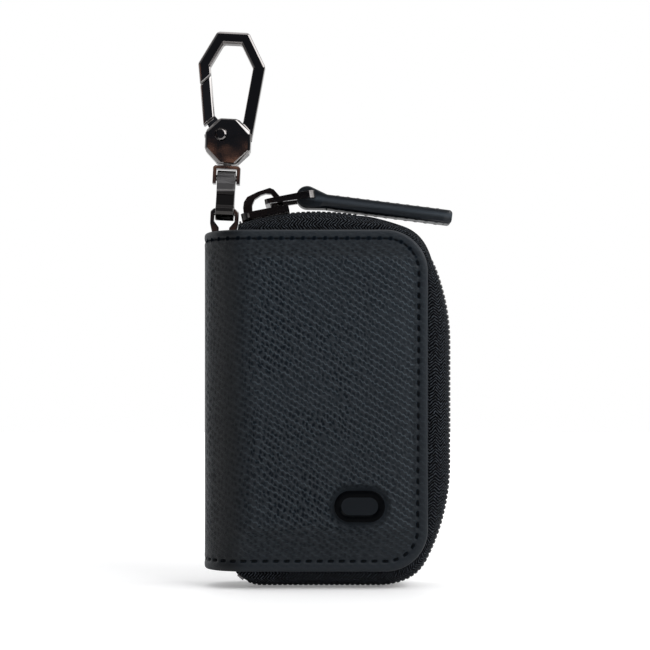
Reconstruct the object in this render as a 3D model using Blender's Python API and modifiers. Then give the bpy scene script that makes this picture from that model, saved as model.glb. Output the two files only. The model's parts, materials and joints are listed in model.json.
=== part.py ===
"""Zip-round key case in book form, with a snap hook on a swivel at the top of its spine.

Units are metres, +Z is up and the front cover faces -Y. Sizes along X are measured from the
back of the spine, and the case empty then puts the middle of the footprint at the origin.
"""

import math

import bmesh
import bpy
from mathutils import Matrix, Vector
from mathutils.geometry import convex_hull_2d

# Clearances and finish
GAP = 0.0003
OVERRUN = 0.002
SOFT_EDGE = 0.0003
METAL_EDGE = 0.0004
WELD = 0.00001
ARC_STEP = math.radians(14)
TAPE_STEP = math.radians(8)

# Case and covers
CASE_DEPTH = 0.024
COVER_WIDTH = 0.0639
COVER_HEIGHT = 0.0967
COVER_CORNER = 0.012
LEATHER = 0.0014
BOARD = 0.0006
LINING = 0.0008
LINING_INSET = 0.0015
BOARD_INSET = 0.0046

# Zip
ZIP_SIDE_REACH = 0.0073
ZIP_TOP_REACH = 0.0066
ZIP_BOTTOM_REACH = 0.0051
ZIP_TOP_RADIUS = 0.075
ZIP_CORNER_RADIUS = 0.012
ZIP_SHOULDER_RADIUS = 0.060
ZIP_PRESS_RADIUS = 0.022
ZIP_TAIL_RADIUS = 0.0095
ZIP_START_X = 0.0099
ZIP_TAIL_X = 0.0165
ZIP_CORNER_START = math.radians(20)
ZIP_CORNER_TURN = math.radians(42)
ZIP_TAIL_TURN = math.radians(48)
ZIP_SEAM_INSET = 0.004
TAPE = 0.0006
TAPE_DROP = 0.0009
TAPE_EDGE_Y = 0.0033
TAPE_BULGE = 2.2

# Teeth
TOOTH_PITCH = 0.0030
TOOTH_LENGTH = 0.0012
TOOTH_HEIGHT = 0.0025
TOOTH_REACH = 0.0009
TOOTH_NECK = 0.0006
TOOTH_SLOPE = 0.0005
TOOTH_ROOT_Y = 0.0030
CORD_INNER_Y = 0.0015
CORD_OUTER_Y = 0.0026
CORD_HEIGHT = 0.0009
STOP_LENGTH = 0.0006
STOP_INNER_Y = 0.0016
STOP_START = 0.0001
BOTTOM_STOP_LENGTH = 0.0022

# Slider
SLIDER_LENGTH = 0.0140
SLIDER_HALF_WIDTH = 0.0045
SLIDER_PLATE = 0.0012
SLIDER_CLEARANCE = 0.0004
SLIDER_WALL = 0.0010
SLIDER_SLOT = 0.0019
SLIDER_WEDGE_LENGTH = 0.0018
SLIDER_WEDGE_HALF = 0.0009
SLIDER_NOSE_SHARE = 0.55
BRIDGE_HEIGHT = 0.0061
BRIDGE_REACH = 0.0062
BRIDGE_WIDTH = 0.0024
BRIDGE_OUTER_SHARES = (
    (0.92, -0.10),
    (0.90, 0.25),
    (0.80, 0.55),
    (0.60, 0.89),
    (0.43, 1.00),
    (-0.17, 0.92),
    (-0.68, 0.78),
    (-0.88, 0.57),
    (-0.97, 0.30),
    (-1.00, -0.10),
)
BRIDGE_INNER_SHARES = (
    (-0.60, -0.10),
    (-0.53, 0.34),
    (-0.36, 0.60),
    (-0.05, 0.74),
    (0.20, 0.77),
    (0.42, 0.70),
    (0.54, 0.50),
    (0.63, 0.22),
    (0.66, -0.10),
)

# Link and pull
LINK_SEAT_ALONG = 0.0012
LINK_SEAT_RISE = 0.0019
LINK_TILT = math.radians(1.7)
LINK_LENGTH = 0.0132
LINK_WIDTH = 0.0112
LINK_BAR = 0.0014
LINK_SLIDER_THICKNESS = 0.0014
LINK_PULL_THICKNESS = 0.0022
LINK_CORNER_SHARE = 0.35
PULL_LIFT = 0.00035
PULL_LENGTH = 0.0416
PULL_WIDTH = 0.0070
PULL_THICKNESS = 0.0040
PULL_DROP = 0.00132
PULL_NECK = 0.0042
PULL_LOOP_RADIUS = 0.00315
PULL_LOOP_BACK = 0.00146
PULL_LOOP_DROP = 0.00076
PULL_BORE = 0.00145
PULL_TIP_RADIUS = 0.0030
PULL_TIP_EDGE = 0.0012

# Hanger: ring, strap and stirrup, all along one leaning line
HANGER_X = 0.0052
HANGER_DROP = 0.0053
HANGER_LEAN = math.radians(2.8)
RING_SPAN = 0.0117
RING_THICKNESS = 0.0022
RING_BAR = 0.0018
RING_FOOT_HALF = 0.0035
RING_HEAD_HALF = 0.0041
RING_WAIST_HALF = 0.0015
RING_TAB_SLOT_HALF = 0.0022
RING_SLOT_LENGTH = 0.0019
RING_FLARE_START_SHARE = 0.50
RING_FLARE_END_SHARE = 0.70
STRAP_SPAN = 0.0098
STRAP_WIDTH = 0.0053
STRAP_TOP_RADIUS = 0.0022
STRAP_FOOT_RADIUS = 0.0025
STRAP_WAIST_HALF = 0.0012
STRAP_FOOT_BORE = 0.0016
PIN_RADIUS = 0.00085
TAB_WIDTH = 0.0037
TAB_RADIUS = 0.0025
TAB_BORE = 0.0016
TAB_TAIL_HALF = 0.0009
TAB_ANCHOR_DROP = 0.0030
TAB_ANCHOR_HEIGHT = 0.0090
TAB_ANCHOR_RIGHT = 0.0072
STIRRUP_EAR = 0.0010
STIRRUP_DEPTH = 0.0026
STIRRUP_EAR_DROP = 0.0018
STIRRUP_WEB = 0.0010
POST_RADIUS = 0.0011
POST_LENGTH = 0.0046
POST_HEAD_RADIUS = 0.0017
POST_HEAD = 0.0011

# Snap hook
HOOK_HALF_WIDTH = 0.0097
HOOK_HEIGHT = 0.0389
HOOK_BAR = 0.0034
HOOK_DEPTH = 0.0036
HOOK_SHARES = ((-0.47, 1.0), (0.47, 1.0), (1.0, 0.756), (0.70, 0.20), (-0.70, 0.20), (-1.0, 0.756))
BOSS_WIDTH = 0.0132
BOSS_DEPTH = 0.0056
BOSS_FOOT = 0.0006
BOSS_EDGE = 0.0006
GATE_PIVOT_U = -0.0020
GATE_PIVOT_RISE = 0.0018
GATE_FOOT_OUTER_RISE = 0.0024
GATE_FOOT_INNER_RISE = 0.0050
GATE_NOSE_OUTER_DROP = 0.0062
GATE_NOSE_INNER_DROP = 0.0032
GATE_SWING = math.radians(30)
GATE_HUB_RADIUS = 0.0025
GATE_FOOT_DEPTH = 0.0015
GATE_FOOT_EDGE_SHARE = 0.15
RIVET_RADIUS = 0.0009
RIVET_HEAD_RADIUS = 0.0019
RIVET_HEAD = 0.0004
SPRING_RADIUS = 0.0015
SPRING_WIRE = 0.00036
SPRING_PITCH = 0.00045
SPRING_TURNS = 2
SPRING_TURN_POINTS = 12

# Badge
BADGE_FORE_MARGIN = 0.0193
BADGE_RISE = 0.0185
BADGE_LENGTH = 0.0143
BADGE_HEIGHT = 0.0089
BADGE_THICKNESS = 0.0005
BADGE_ROUND_SHARE = 0.98

# Key rack
RACK_LEFT = 0.0138
RACK_FORE_MARGIN = 0.0037
RACK_HEIGHT = 0.0090
RACK_DROP = 0.0138
RACK_END = 0.0067
RACK_THICKNESS = 0.0010
RACK_RIVET_INSET = 0.0022
RACK_RIVET_RADIUS = 0.0010
RACK_RIVET_HEAD_RADIUS = 0.0017
KEY_HOOKS = 4
KEY_HOOK_THICKNESS = 0.0012
KEY_HOOK_LENGTH = 0.0230
KEY_HOOK_WIDTH = 0.0060
KEY_HOOK_WIRE = 0.0015
KEY_HOOK_HUB_RADIUS = 0.0021
KEY_HOOK_LIP_SHARE = 0.45
STUD_RADIUS = 0.0009
STUD_HEAD_RADIUS = 0.0016
STUD_HEAD = 0.0005
TONGUE_WIDTH = 0.0009
TONGUE_HUB_RADIUS = 0.0008

# Pocket
POCKET_LEFT = 0.0140
POCKET_FORE_MARGIN = 0.0039
POCKET_RISE = 0.0039
POCKET_HEIGHT = 0.0470
POCKET_THICKNESS = 0.0008
POCKET_DIP = 0.0050

HALF_DEPTH = CASE_DEPTH / 2
COVER_BOTTOM = ZIP_BOTTOM_REACH
COVER_TOP = COVER_BOTTOM + COVER_HEIGHT
BOARD_OUTER = HALF_DEPTH - LEATHER - GAP
LINING_OUTER = BOARD_OUTER - BOARD - GAP
LINING_INNER = LINING_OUTER - LINING
FOLD_X = HALF_DEPTH * (1 - math.pi / 4)
FOLD_Y = HALF_DEPTH * math.pi / 4
SLIDER_START = STOP_START + STOP_LENGTH + GAP
HANGER_Z = COVER_TOP - HANGER_DROP
HOOK_RISE = STRAP_TOP_RADIUS + GAP + STIRRUP_WEB - BOSS_FOOT + GAP
HOOK_CORNER_W = HOOK_HEIGHT * HOOK_SHARES[5][1]
GATE_PIVOT_W = BOSS_FOOT + BOSS_WIDTH / 2 + GATE_PIVOT_RISE
RACK_WIDTH = COVER_WIDTH - RACK_LEFT - RACK_FORE_MARGIN
RACK_Z = COVER_TOP - RACK_DROP
KEY_HOOK_PITCH = (RACK_WIDTH - 2 * RACK_END) / (KEY_HOOKS - 1)

FRONT = -1
BACK = 1


def clear_scene():
    """Remove whatever objects the file starts with."""
    for old in list(bpy.data.objects):
        bpy.data.objects.remove(old)


def make_collection(name):
    collection = bpy.data.collections.new(name)
    bpy.context.scene.collection.children.link(collection)
    return collection


def make_material(name, colour, roughness, metallic):
    """One Principled material with plain values."""
    material = bpy.data.materials.new(name)
    material.use_nodes = True
    shader = material.node_tree.nodes["Principled BSDF"]
    shader.inputs["Base Color"].default_value = (*colour, 1.0)
    shader.inputs["Roughness"].default_value = roughness
    shader.inputs["Metallic"].default_value = metallic
    material.diffuse_color = (*colour, 1.0)
    return material


def make_empty(name, parent, location, turn_y=0.0):
    """An empty that sets up a local frame, turned about Y."""
    empty = bpy.data.objects.new(name, None)
    PARTS.objects.link(empty)
    empty.parent = parent
    empty.location = location
    empty.rotation_euler = (0.0, turn_y, 0.0)
    empty.empty_display_size = GAP
    return empty


def carry(axis, *names):
    """Hang things on an empty that stands on their joint's axis, and leave them where they are."""
    bpy.context.view_layer.update()
    for name in names:
        thing = bpy.data.objects[name]
        placed = thing.matrix_world.copy()
        thing.parent = axis
        thing.matrix_world = placed


def mesh_object(name, mesh, parent, material, collection=None):
    thing = bpy.data.objects.new(name, mesh)
    (collection or PARTS).objects.link(thing)
    thing.parent = parent
    if material:
        mesh.materials.clear()
        mesh.materials.append(material)
    return thing


def mesh_from_bmesh(name, work):
    bmesh.ops.recalc_face_normals(work, faces=work.faces)
    mesh = bpy.data.meshes.new(name)
    work.to_mesh(mesh)
    work.free()
    return mesh


def smooth(thing, angle=math.radians(35)):
    thing.data.shade_smooth()
    thing.data.set_sharp_from_angle(angle=angle)
    return thing


def bevel(thing, width, segments=1, angle=math.radians(40)):
    edge = thing.modifiers.new("Soft edges", "BEVEL")
    edge.width = width
    edge.segments = segments
    edge.limit_method = "ANGLE"
    edge.angle_limit = angle
    edge.use_clamp_overlap = True
    return edge


def combine(thing, other, operation):
    """A Boolean with another object, which becomes a hidden helper."""
    step = thing.modifiers.new(operation.title(), "BOOLEAN")
    step.operation = operation
    step.object = other
    step.solver = "EXACT"
    other.hide_render = True
    other.display_type = "WIRE"
    return step


def arc(centre, radius, start, end, steps=None):
    """Points on an arc, both ends included."""
    count = steps or max(1, math.ceil(abs(end - start) / ARC_STEP))
    turns = [start + (end - start) * i / count for i in range(count + 1)]
    return [(centre[0] + radius * math.cos(t), centre[1] + radius * math.sin(t)) for t in turns]


def circle(centre, radius, steps=16):
    return arc(centre, radius, 0.0, math.tau, steps)[:-1]


def rounded_box(left, right, bottom, top, radii):
    """A rectangle's outline; radii run from bottom left, anticlockwise."""
    corners = ((left, bottom, 1, 1), (right, bottom, -1, 1), (right, top, -1, -1), (left, top, 1, -1))
    points = []
    for index, (x, y, sx, sy) in enumerate(corners):
        radius = radii[index]
        if radius == 0:
            points.append((x, y))
            continue
        start = math.pi + index * math.pi / 2
        points += arc((x + sx * radius, y + sy * radius), radius, start, start + math.pi / 2)
    return points


def inset(points, distance):
    """A convex anticlockwise outline moved inwards; a negative distance moves it out."""
    lines = []
    for index, point in enumerate(points):
        a = Vector(point)
        b = Vector(points[(index + 1) % len(points)])
        along = (b - a).normalized()
        inward = Vector((-along.y, along.x))
        lines.append((a + inward * distance, along))
    moved = []
    for index, (start, along) in enumerate(lines):
        before, heading = lines[index - 1]
        cross = heading.x * along.y - heading.y * along.x
        reach = ((start - before).x * along.y - (start - before).y * along.x) / cross
        moved.append(tuple(before + heading * reach))
    return moved


def anticlockwise(points):
    area = sum(
        a[0] * b[1] - b[0] * a[1] for a, b in zip(points, points[1:] + points[:1])
    )
    return points if area > 0 else points[::-1]


def hull(points):
    """Convex outline round points, anticlockwise."""
    return anticlockwise([points[i] for i in convex_hull_2d(points)])


def ribbon(points, width):
    """The outline of a strip of even width along a line of points."""
    line = [Vector(p) for p in points]
    left = []
    right = []
    for index, point in enumerate(line):
        ahead = line[min(index + 1, len(line) - 1)] - point
        behind = point - line[max(index - 1, 0)]
        directions = [d.normalized() for d in (ahead, behind) if d.length > 0]
        mean = sum(directions, Vector((0.0, 0.0))).normalized()
        side = Vector((-mean.y, mean.x)) / max(mean.dot(directions[0]), 0.5)
        left.append(tuple(point + side * width / 2))
        right.append(tuple(point - side * width / 2))
    return right + left[::-1]


PLANES = {
    "XZ": Matrix(((1, 0, 0), (0, 0, -1), (0, 1, 0))).to_4x4(),
    "YZ": Matrix(((0, 0, 1), (1, 0, 0), (0, 1, 0))).to_4x4(),
    "XY": Matrix.Identity(4),
}


def flat_mesh(name, outlines, thickness, plane, middle=0.0):
    """A plate as a mesh: a filled 2D curve, the first outline less the others, given a thickness."""
    curve = bpy.data.curves.new(name, "CURVE")
    curve.dimensions = "2D"
    curve.fill_mode = "BOTH"
    curve.extrude = thickness / 2
    for outline in outlines:
        spline = curve.splines.new("POLY")
        spline.points.add(len(outline) - 1)
        for place, (u, v) in zip(spline.points, outline):
            place.co = (u, v, 0.0, 1.0)
        spline.use_cyclic_u = True
    source = bpy.data.objects.new(name, curve)
    bpy.context.scene.collection.objects.link(source)
    bpy.context.view_layer.update()
    evaluated = source.evaluated_get(bpy.context.evaluated_depsgraph_get())
    mesh = bpy.data.meshes.new_from_object(evaluated)
    bpy.data.objects.remove(source)
    work = bmesh.new()
    work.from_mesh(mesh)
    bmesh.ops.remove_doubles(work, verts=work.verts, dist=WELD)
    out_of_plane = PLANES[plane] @ Matrix.Translation((0.0, 0.0, middle))
    bmesh.ops.transform(work, matrix=out_of_plane, verts=work.verts)
    bpy.data.meshes.remove(mesh)
    return mesh_from_bmesh(name, work)


def plate(name, outlines, thickness, plane, parent, material, middle=0.0, edge=0.0):
    thing = mesh_object(name, flat_mesh(name, outlines, thickness, plane, middle), parent, material)
    if edge:
        bevel(thing, edge)
    return thing


def helper(name, outlines, thickness, plane, parent, middle=0.0):
    """A plate that cuts or joins another piece and is left out of the object."""
    mesh = flat_mesh(name, outlines, thickness, plane, middle)
    return mesh_object(name, mesh, parent, None, HELPERS)


def turned_mesh(name, profile, axis="Z", steps=16):
    """A solid of revolution about the axis, from (radius, height) points that run bottom to top."""
    work = bmesh.new()
    rings = []
    for radius, height in profile:
        if radius == 0:
            rings.append([work.verts.new((0.0, 0.0, height))])
            continue
        rings.append([work.verts.new((x, y, height)) for x, y in circle((0.0, 0.0), radius, steps)])
    for low, high in zip(rings, rings[1:]):
        for i in range(steps):
            j = (i + 1) % steps
            corners = [low[i % len(low)], low[j % len(low)], high[j % len(high)], high[i % len(high)]]
            work.faces.new(list(dict.fromkeys(corners)))
    turn = {"Z": Matrix.Identity(4), "Y": Matrix.Rotation(math.pi / 2, 4, "X")}
    turn["X"] = Matrix.Rotation(math.pi / 2, 4, "Y")
    bmesh.ops.transform(work, matrix=turn[axis], verts=work.verts)
    return mesh_from_bmesh(name, work)


def rod_profile(radius, low, high):
    return [(0.0, low), (radius, low), (radius, high), (0.0, high)]


def turned(name, profile, axis, parent, material, location, helper_piece=False):
    mesh = turned_mesh(name, profile, axis)
    thing = mesh_object(name, mesh, parent, material, HELPERS if helper_piece else None)
    thing.location = location
    return smooth(thing)


# Leather covers and linings


def bent_sheet(name, profile, thickness, bottom, top, parent, material):
    """A sheet whose outer side follows a plan profile, from bottom to top."""
    work = bmesh.new()
    low = [work.verts.new((x, y, bottom)) for x, y in profile]
    high = [work.verts.new((x, y, top)) for x, y in profile]
    for i in range(len(profile) - 1):
        work.faces.new((low[i], low[i + 1], high[i + 1], high[i]))
    mesh = bpy.data.meshes.new(name)
    work.to_mesh(mesh)
    work.free()
    thing = mesh_object(name, mesh, parent, material)
    skin = thing.modifiers.new("Thickness", "SOLIDIFY")
    skin.thickness = thickness
    skin.offset = -1.0
    skin.use_even_offset = True
    return thing


def half_profile(side, radius, right):
    """Plan of one cover's outer side, from the fore edge round to the fold line."""
    half_gap = GAP / 2 / radius
    turns = arc((HALF_DEPTH, 0.0), radius, math.pi / 2, math.pi * 3 / 4 - half_gap, 4)
    points = [(right, radius), *turns]
    if side == BACK:
        return points
    return [(x, -y) for x, y in reversed(points)]


def spine_profile(radius):
    half_gap = GAP / 2 / radius
    return arc((HALF_DEPTH, 0.0), radius, math.pi * 3 / 4 + half_gap, math.pi * 5 / 4 - half_gap, 8)


def round_off(thing, margin, case):
    """Round the fore-edge corners of a sheet."""
    radius = COVER_CORNER - margin
    outline = rounded_box(
        -OVERRUN,
        COVER_WIDTH - margin,
        COVER_BOTTOM + margin,
        COVER_TOP - margin,
        (0, radius, radius, 0),
    )
    combine(thing, helper(thing.name + "_outline", [outline], CASE_DEPTH * 2, "XZ", case), "INTERSECT")


def make_leather(case, materials):
    """The three outer leather panels."""
    bottom = COVER_BOTTOM - OVERRUN
    top = COVER_TOP + OVERRUN
    for side, name in ((FRONT, "front_cover"), (BACK, "back_cover")):
        profile = half_profile(side, HALF_DEPTH, COVER_WIDTH + OVERRUN)
        cover = bent_sheet(name, profile, LEATHER, bottom, top, case, materials["leather"])
        round_off(cover, 0.0, case)
        bevel(cover, SOFT_EDGE)
        smooth(cover)
    spine = bent_sheet(
        "spine_leather",
        spine_profile(HALF_DEPTH),
        LEATHER,
        COVER_BOTTOM,
        COVER_TOP,
        case,
        materials["leather"],
    )
    smooth(spine)


def make_boards(case, materials):
    """Stiff boards that lie between leather and lining."""
    radius = COVER_CORNER - BOARD_INSET
    outline = rounded_box(
        HALF_DEPTH + GAP,
        COVER_WIDTH - BOARD_INSET,
        COVER_BOTTOM + BOARD_INSET,
        COVER_TOP - BOARD_INSET,
        (0, radius, radius, 0),
    )
    for side, name in ((FRONT, "front_board"), (BACK, "back_board")):
        middle = -side * (BOARD_OUTER - BOARD / 2)
        plate(name, [outline], BOARD, "XZ", case, materials["board"], middle)


def make_linings(case, materials):
    """Inner linings: two leaves and a spine strip that stops under the ring's tab."""
    for side, name in ((FRONT, "front_lining"), (BACK, "back_lining")):
        profile = half_profile(side, LINING_OUTER, COVER_WIDTH)
        bottom = COVER_BOTTOM - OVERRUN
        lining = bent_sheet(
            name, profile, LINING, bottom, COVER_TOP + OVERRUN, case, materials["lining"]
        )
        round_off(lining, LINING_INSET, case)
        smooth(lining)
    bent = bent_sheet(
        "spine_lining",
        spine_profile(LINING_OUTER),
        LINING,
        COVER_BOTTOM + LINING_INSET,
        HANGER_Z - TAB_ANCHOR_DROP - TAB_ANCHOR_HEIGHT - GAP,
        case,
        materials["lining"],
    )
    smooth(bent)


def make_pocket(case, materials):
    """Slip pocket on the front lining, with a dipped mouth."""
    steps = 10
    right = COVER_WIDTH - POCKET_FORE_MARGIN
    bottom = COVER_BOTTOM + POCKET_RISE
    mouth = []
    for i in range(steps + 1):
        share = i / steps
        x = right + (POCKET_LEFT - right) * share
        mouth.append((x, bottom + POCKET_HEIGHT - POCKET_DIP * math.sin(math.pi * share)))
    outline = [(POCKET_LEFT, bottom), (right, bottom), *mouth]
    middle = LINING_INNER - GAP - POCKET_THICKNESS / 2
    plate("front_pocket", [outline], POCKET_THICKNESS, "XZ", case, materials["lining"], middle)


# Zip path


def outward(heading):
    return Vector((-math.sin(heading), math.cos(heading)))


def zip_runs():
    """The zip's outer line, clockwise: runs of (start, heading, radius or 0, length)."""
    side_x = COVER_WIDTH + ZIP_SIDE_REACH
    top_z = COVER_TOP + ZIP_TOP_REACH
    shoulder_start = ZIP_CORNER_START + ZIP_CORNER_TURN
    shoulder_turn = math.pi / 2 - shoulder_start
    inner_top = ZIP_TOP_RADIUS - ZIP_CORNER_RADIUS
    inner_side = ZIP_SHOULDER_RADIUS - ZIP_CORNER_RADIUS
    apex_x = (
        side_x
        - ZIP_SHOULDER_RADIUS
        + inner_side * math.sin(shoulder_start)
        - inner_top * math.sin(ZIP_CORNER_START)
    )
    arc_z = top_z - ZIP_TOP_RADIUS
    corner_drop = (
        ZIP_CORNER_RADIUS * math.cos(ZIP_CORNER_START)
        + inner_side * math.cos(shoulder_start)
    )
    shoulder_end_z = arc_z + ZIP_TOP_RADIUS * math.cos(ZIP_CORNER_START) - corner_drop
    press_rise = ZIP_PRESS_RADIUS * (1 - math.cos(ZIP_CORNER_START))
    side_length = shoulder_end_z - press_rise - corner_drop
    start_angle = math.asin((apex_x - ZIP_START_X) / ZIP_TOP_RADIUS)
    top_turn = start_angle + ZIP_CORNER_START
    flat_start_x = (
        apex_x
        + ZIP_TOP_RADIUS * math.sin(ZIP_CORNER_START)
        - ZIP_PRESS_RADIUS * math.sin(ZIP_CORNER_START)
    )
    steps = (
        (ZIP_TOP_RADIUS, ZIP_TOP_RADIUS * top_turn),
        (ZIP_CORNER_RADIUS, ZIP_CORNER_RADIUS * ZIP_CORNER_TURN),
        (ZIP_SHOULDER_RADIUS, ZIP_SHOULDER_RADIUS * shoulder_turn),
        (0.0, side_length),
        (ZIP_SHOULDER_RADIUS, ZIP_SHOULDER_RADIUS * shoulder_turn),
        (ZIP_CORNER_RADIUS, ZIP_CORNER_RADIUS * ZIP_CORNER_TURN),
        (ZIP_PRESS_RADIUS, ZIP_PRESS_RADIUS * ZIP_CORNER_START),
        (0.0, flat_start_x - ZIP_TAIL_X),
        (ZIP_TAIL_RADIUS, ZIP_TAIL_RADIUS * ZIP_TAIL_TURN),
    )
    heading = start_angle
    place = Vector((apex_x, arc_z)) + outward(heading) * ZIP_TOP_RADIUS
    runs = []
    for radius, length in steps:
        runs.append((place, heading, radius, length))
        place, heading = along_run(runs[-1], length)
    return runs


def along_run(run, distance):
    place, heading, radius, _ = run
    if radius == 0:
        return place + Vector((math.cos(heading), math.sin(heading))) * distance, heading
    turned_heading = heading - distance / radius
    centre = place - outward(heading) * radius
    return centre + outward(turned_heading) * radius, turned_heading


def zip_point(runs, distance):
    """Point and heading at a distance along the zip."""
    for run in runs:
        if distance <= run[3]:
            return along_run(run, distance)
        distance -= run[3]
    return along_run(runs[-1], runs[-1][3] + distance)


def zip_length(runs):
    return sum(run[3] for run in runs)


def top_arc(runs):
    """Centre and radius of the arc that the slider runs on."""
    place, heading, radius, _ = runs[0]
    return place - outward(heading) * radius, radius


def nearest_on_cover(place):
    """The nearest point of the cover's outline, and the way out from it."""
    x = min(place.x, COVER_WIDTH - COVER_CORNER)
    z = min(max(place.y, COVER_BOTTOM + COVER_CORNER), COVER_TOP - COVER_CORNER)
    inner = Vector((x, z))
    way = (place - inner).normalized()
    return inner, way


def tape_section(place, heading, side):
    """Points across one tape, from the seam under the leather to its edge beside the teeth."""
    inner, way = nearest_on_cover(place)
    seam_y = BOARD_OUTER
    if inner.x < HALF_DEPTH:
        seam_y = math.sqrt(BOARD_OUTER**2 - (HALF_DEPTH - inner.x) ** 2)
    seam = inner + way * (COVER_CORNER - ZIP_SEAM_INSET)
    edge = inner + way * COVER_CORNER
    outer = place - outward(heading) * TAPE_DROP
    points = [(seam.x, side * seam_y, seam.y)]
    steps = 4
    for i in range(steps + 1):
        t = math.pi / 2 * i / steps
        over = math.sin(t) ** (2 / TAPE_BULGE)
        down = math.cos(t) ** (2 / TAPE_BULGE)
        spot = edge.lerp(outer, over)
        points.append((spot.x, side * (TAPE_EDGE_Y + (seam_y - TAPE_EDGE_Y) * down), spot.y))
    return points


def tape_places(runs):
    """Distances for the tape's rows: the ends of straight runs and every few degrees of an arc."""
    places = [STOP_START]
    start = 0.0
    for _, _, radius, length in runs:
        count = 1
        if radius:
            count = max(2, math.ceil(length / radius / TAPE_STEP))
        places += [start + length * (i + 1) / count for i in range(count)]
        start += length
    return places


def make_tapes(case, materials, runs):
    for side, name in ((FRONT, "front_tape"), (BACK, "back_tape")):
        work = bmesh.new()
        rows = []
        for distance in tape_places(runs):
            place, heading = zip_point(runs, distance)
            section = tape_section(place, heading, side)
            rows.append([work.verts.new(point) for point in section])
        for first, second in zip(rows, rows[1:]):
            for i in range(len(first) - 1):
                corners = [first[i], first[i + 1], second[i + 1], second[i]]
                work.faces.new(corners[::side])
        mesh = bpy.data.meshes.new(name)
        work.to_mesh(mesh)
        work.free()
        tape = mesh_object(name, mesh, case, materials["tape"])
        skin = tape.modifiers.new("Thickness", "SOLIDIFY")
        skin.thickness = TAPE
        skin.offset = -1.0
        skin.use_even_offset = True
        smooth(tape)


def tooth_section():
    """Outline across a tooth, as (distance from the row's side, height under the outer line)."""
    return (
        (-TOOTH_ROOT_Y, 0.0),
        (-TOOTH_NECK, 0.0),
        (TOOTH_REACH, -TOOTH_SLOPE),
        (TOOTH_REACH, TOOTH_SLOPE - TOOTH_HEIGHT),
        (-TOOTH_NECK, -TOOTH_HEIGHT),
        (-TOOTH_ROOT_Y, -TOOTH_HEIGHT),
    )


def cord_section():
    middle = -TOOTH_HEIGHT / 2
    centre_y = -(CORD_INNER_Y + CORD_OUTER_Y) / 2
    half = CORD_HEIGHT / 2
    return (
        (-CORD_OUTER_Y, middle + half),
        (centre_y, middle + half),
        (-CORD_INNER_Y, middle + half / 2),
        (-CORD_INNER_Y, middle - half / 2),
        (centre_y, middle - half),
        (-CORD_OUTER_Y, middle - half),
    )


def section_ring(work, runs, distance, section, side):
    place, heading = zip_point(runs, distance)
    out = outward(heading)
    ring = []
    for across, up in section:
        spot = place + out * up
        ring.append(work.verts.new((spot.x, -side * across, spot.y)))
    return ring


def make_teeth(case, materials, runs):
    """Each row is one body: its cord with a tooth on it at every pitch."""
    start = SLIDER_START + SLIDER_LENGTH + GAP
    end = zip_length(runs) - BOTTOM_STOP_LENGTH - GAP
    for side, name, shift in ((FRONT, "front_teeth", TOOTH_PITCH / 2), (BACK, "back_teeth", 0.0)):
        count = int((end - start - shift - TOOTH_LENGTH) / TOOTH_PITCH) + 1
        work = bmesh.new()
        rings = []
        for i in range(count):
            first = start + shift + i * TOOTH_PITCH
            for distance in (first, first + TOOTH_LENGTH):
                cord = section_ring(work, runs, distance, cord_section(), side)
                tooth = section_ring(work, runs, distance, tooth_section(), side)
                rings += [cord, tooth] if distance == first else [tooth, cord]
        rings = rings[1:-1]
        for first, second in zip(rings, rings[1:]):
            for i in range(len(first)):
                j = (i + 1) % len(first)
                work.faces.new((first[i], first[j], second[j], second[i]))
        work.faces.new(rings[0])
        work.faces.new(rings[-1])
        loose = [v for v in work.verts if not v.link_faces]
        bmesh.ops.delete(work, geom=loose, context="VERTS")
        mesh_object(name, mesh_from_bmesh(name, work), case, materials["tooth"])


def zip_block(name, runs, start, length, section, side, case, material):
    """A short metal block on the zip, from one section to the next."""
    work = bmesh.new()
    ends = [section_ring(work, runs, start + step, section, side) for step in (0.0, length)]
    count = len(section)
    for i in range(count):
        j = (i + 1) % count
        work.faces.new((ends[0][i], ends[0][j], ends[1][j], ends[1][i]))
    work.faces.new(ends[0])
    work.faces.new(ends[1])
    mesh_object(name, mesh_from_bmesh(name, work), case, material)


def stop_section(inner):
    return (
        (-TOOTH_ROOT_Y, 0.0),
        (inner, 0.0),
        (inner, -TOOTH_HEIGHT),
        (-TOOTH_ROOT_Y, -TOOTH_HEIGHT),
    )


def make_stops(case, materials, runs):
    """A small clamp at each row's upper end, and one across both rows at the lower end."""
    metal = materials["metal"]
    for side, name in ((FRONT, "front_top_stop"), (BACK, "back_top_stop")):
        section = stop_section(-STOP_INNER_Y)
        zip_block(name, runs, STOP_START, STOP_LENGTH, section, side, case, metal)
    section = stop_section(TOOTH_ROOT_Y)
    start = zip_length(runs) - BOTTOM_STOP_LENGTH
    zip_block("bottom_stop", runs, start, BOTTOM_STOP_LENGTH, section, BACK, case, metal)


# Slider, link and pull


def slider_seat(runs):
    """The slider's middle on the zip's outer line, and its heading."""
    return zip_point(runs, SLIDER_START + SLIDER_LENGTH / 2)


def link_seat(runs):
    """The point of the slider's bridge that the link turns on."""
    place, heading = slider_seat(runs)
    along = Vector((math.cos(heading), math.sin(heading)))
    rise = SLIDER_CLEARANCE + SLIDER_PLATE + LINK_SEAT_RISE
    return place + along * LINK_SEAT_ALONG + outward(heading) * rise


def pull_seat(runs):
    """The end of the link, and the slope at which the pull lies over the zip's top arc."""
    centre, radius = top_arc(runs)
    link_slope = slider_seat(runs)[1] - LINK_TILT
    reach = Vector((math.cos(link_slope), math.sin(link_slope))) * LINK_LENGTH
    place = link_seat(runs) + reach
    down = centre - place
    clear = radius + PULL_LIFT + PULL_THICKNESS / 2 + PULL_DROP
    slope = math.atan2(down.y, down.x) + math.asin(clear / down.length)
    return place, slope


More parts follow.
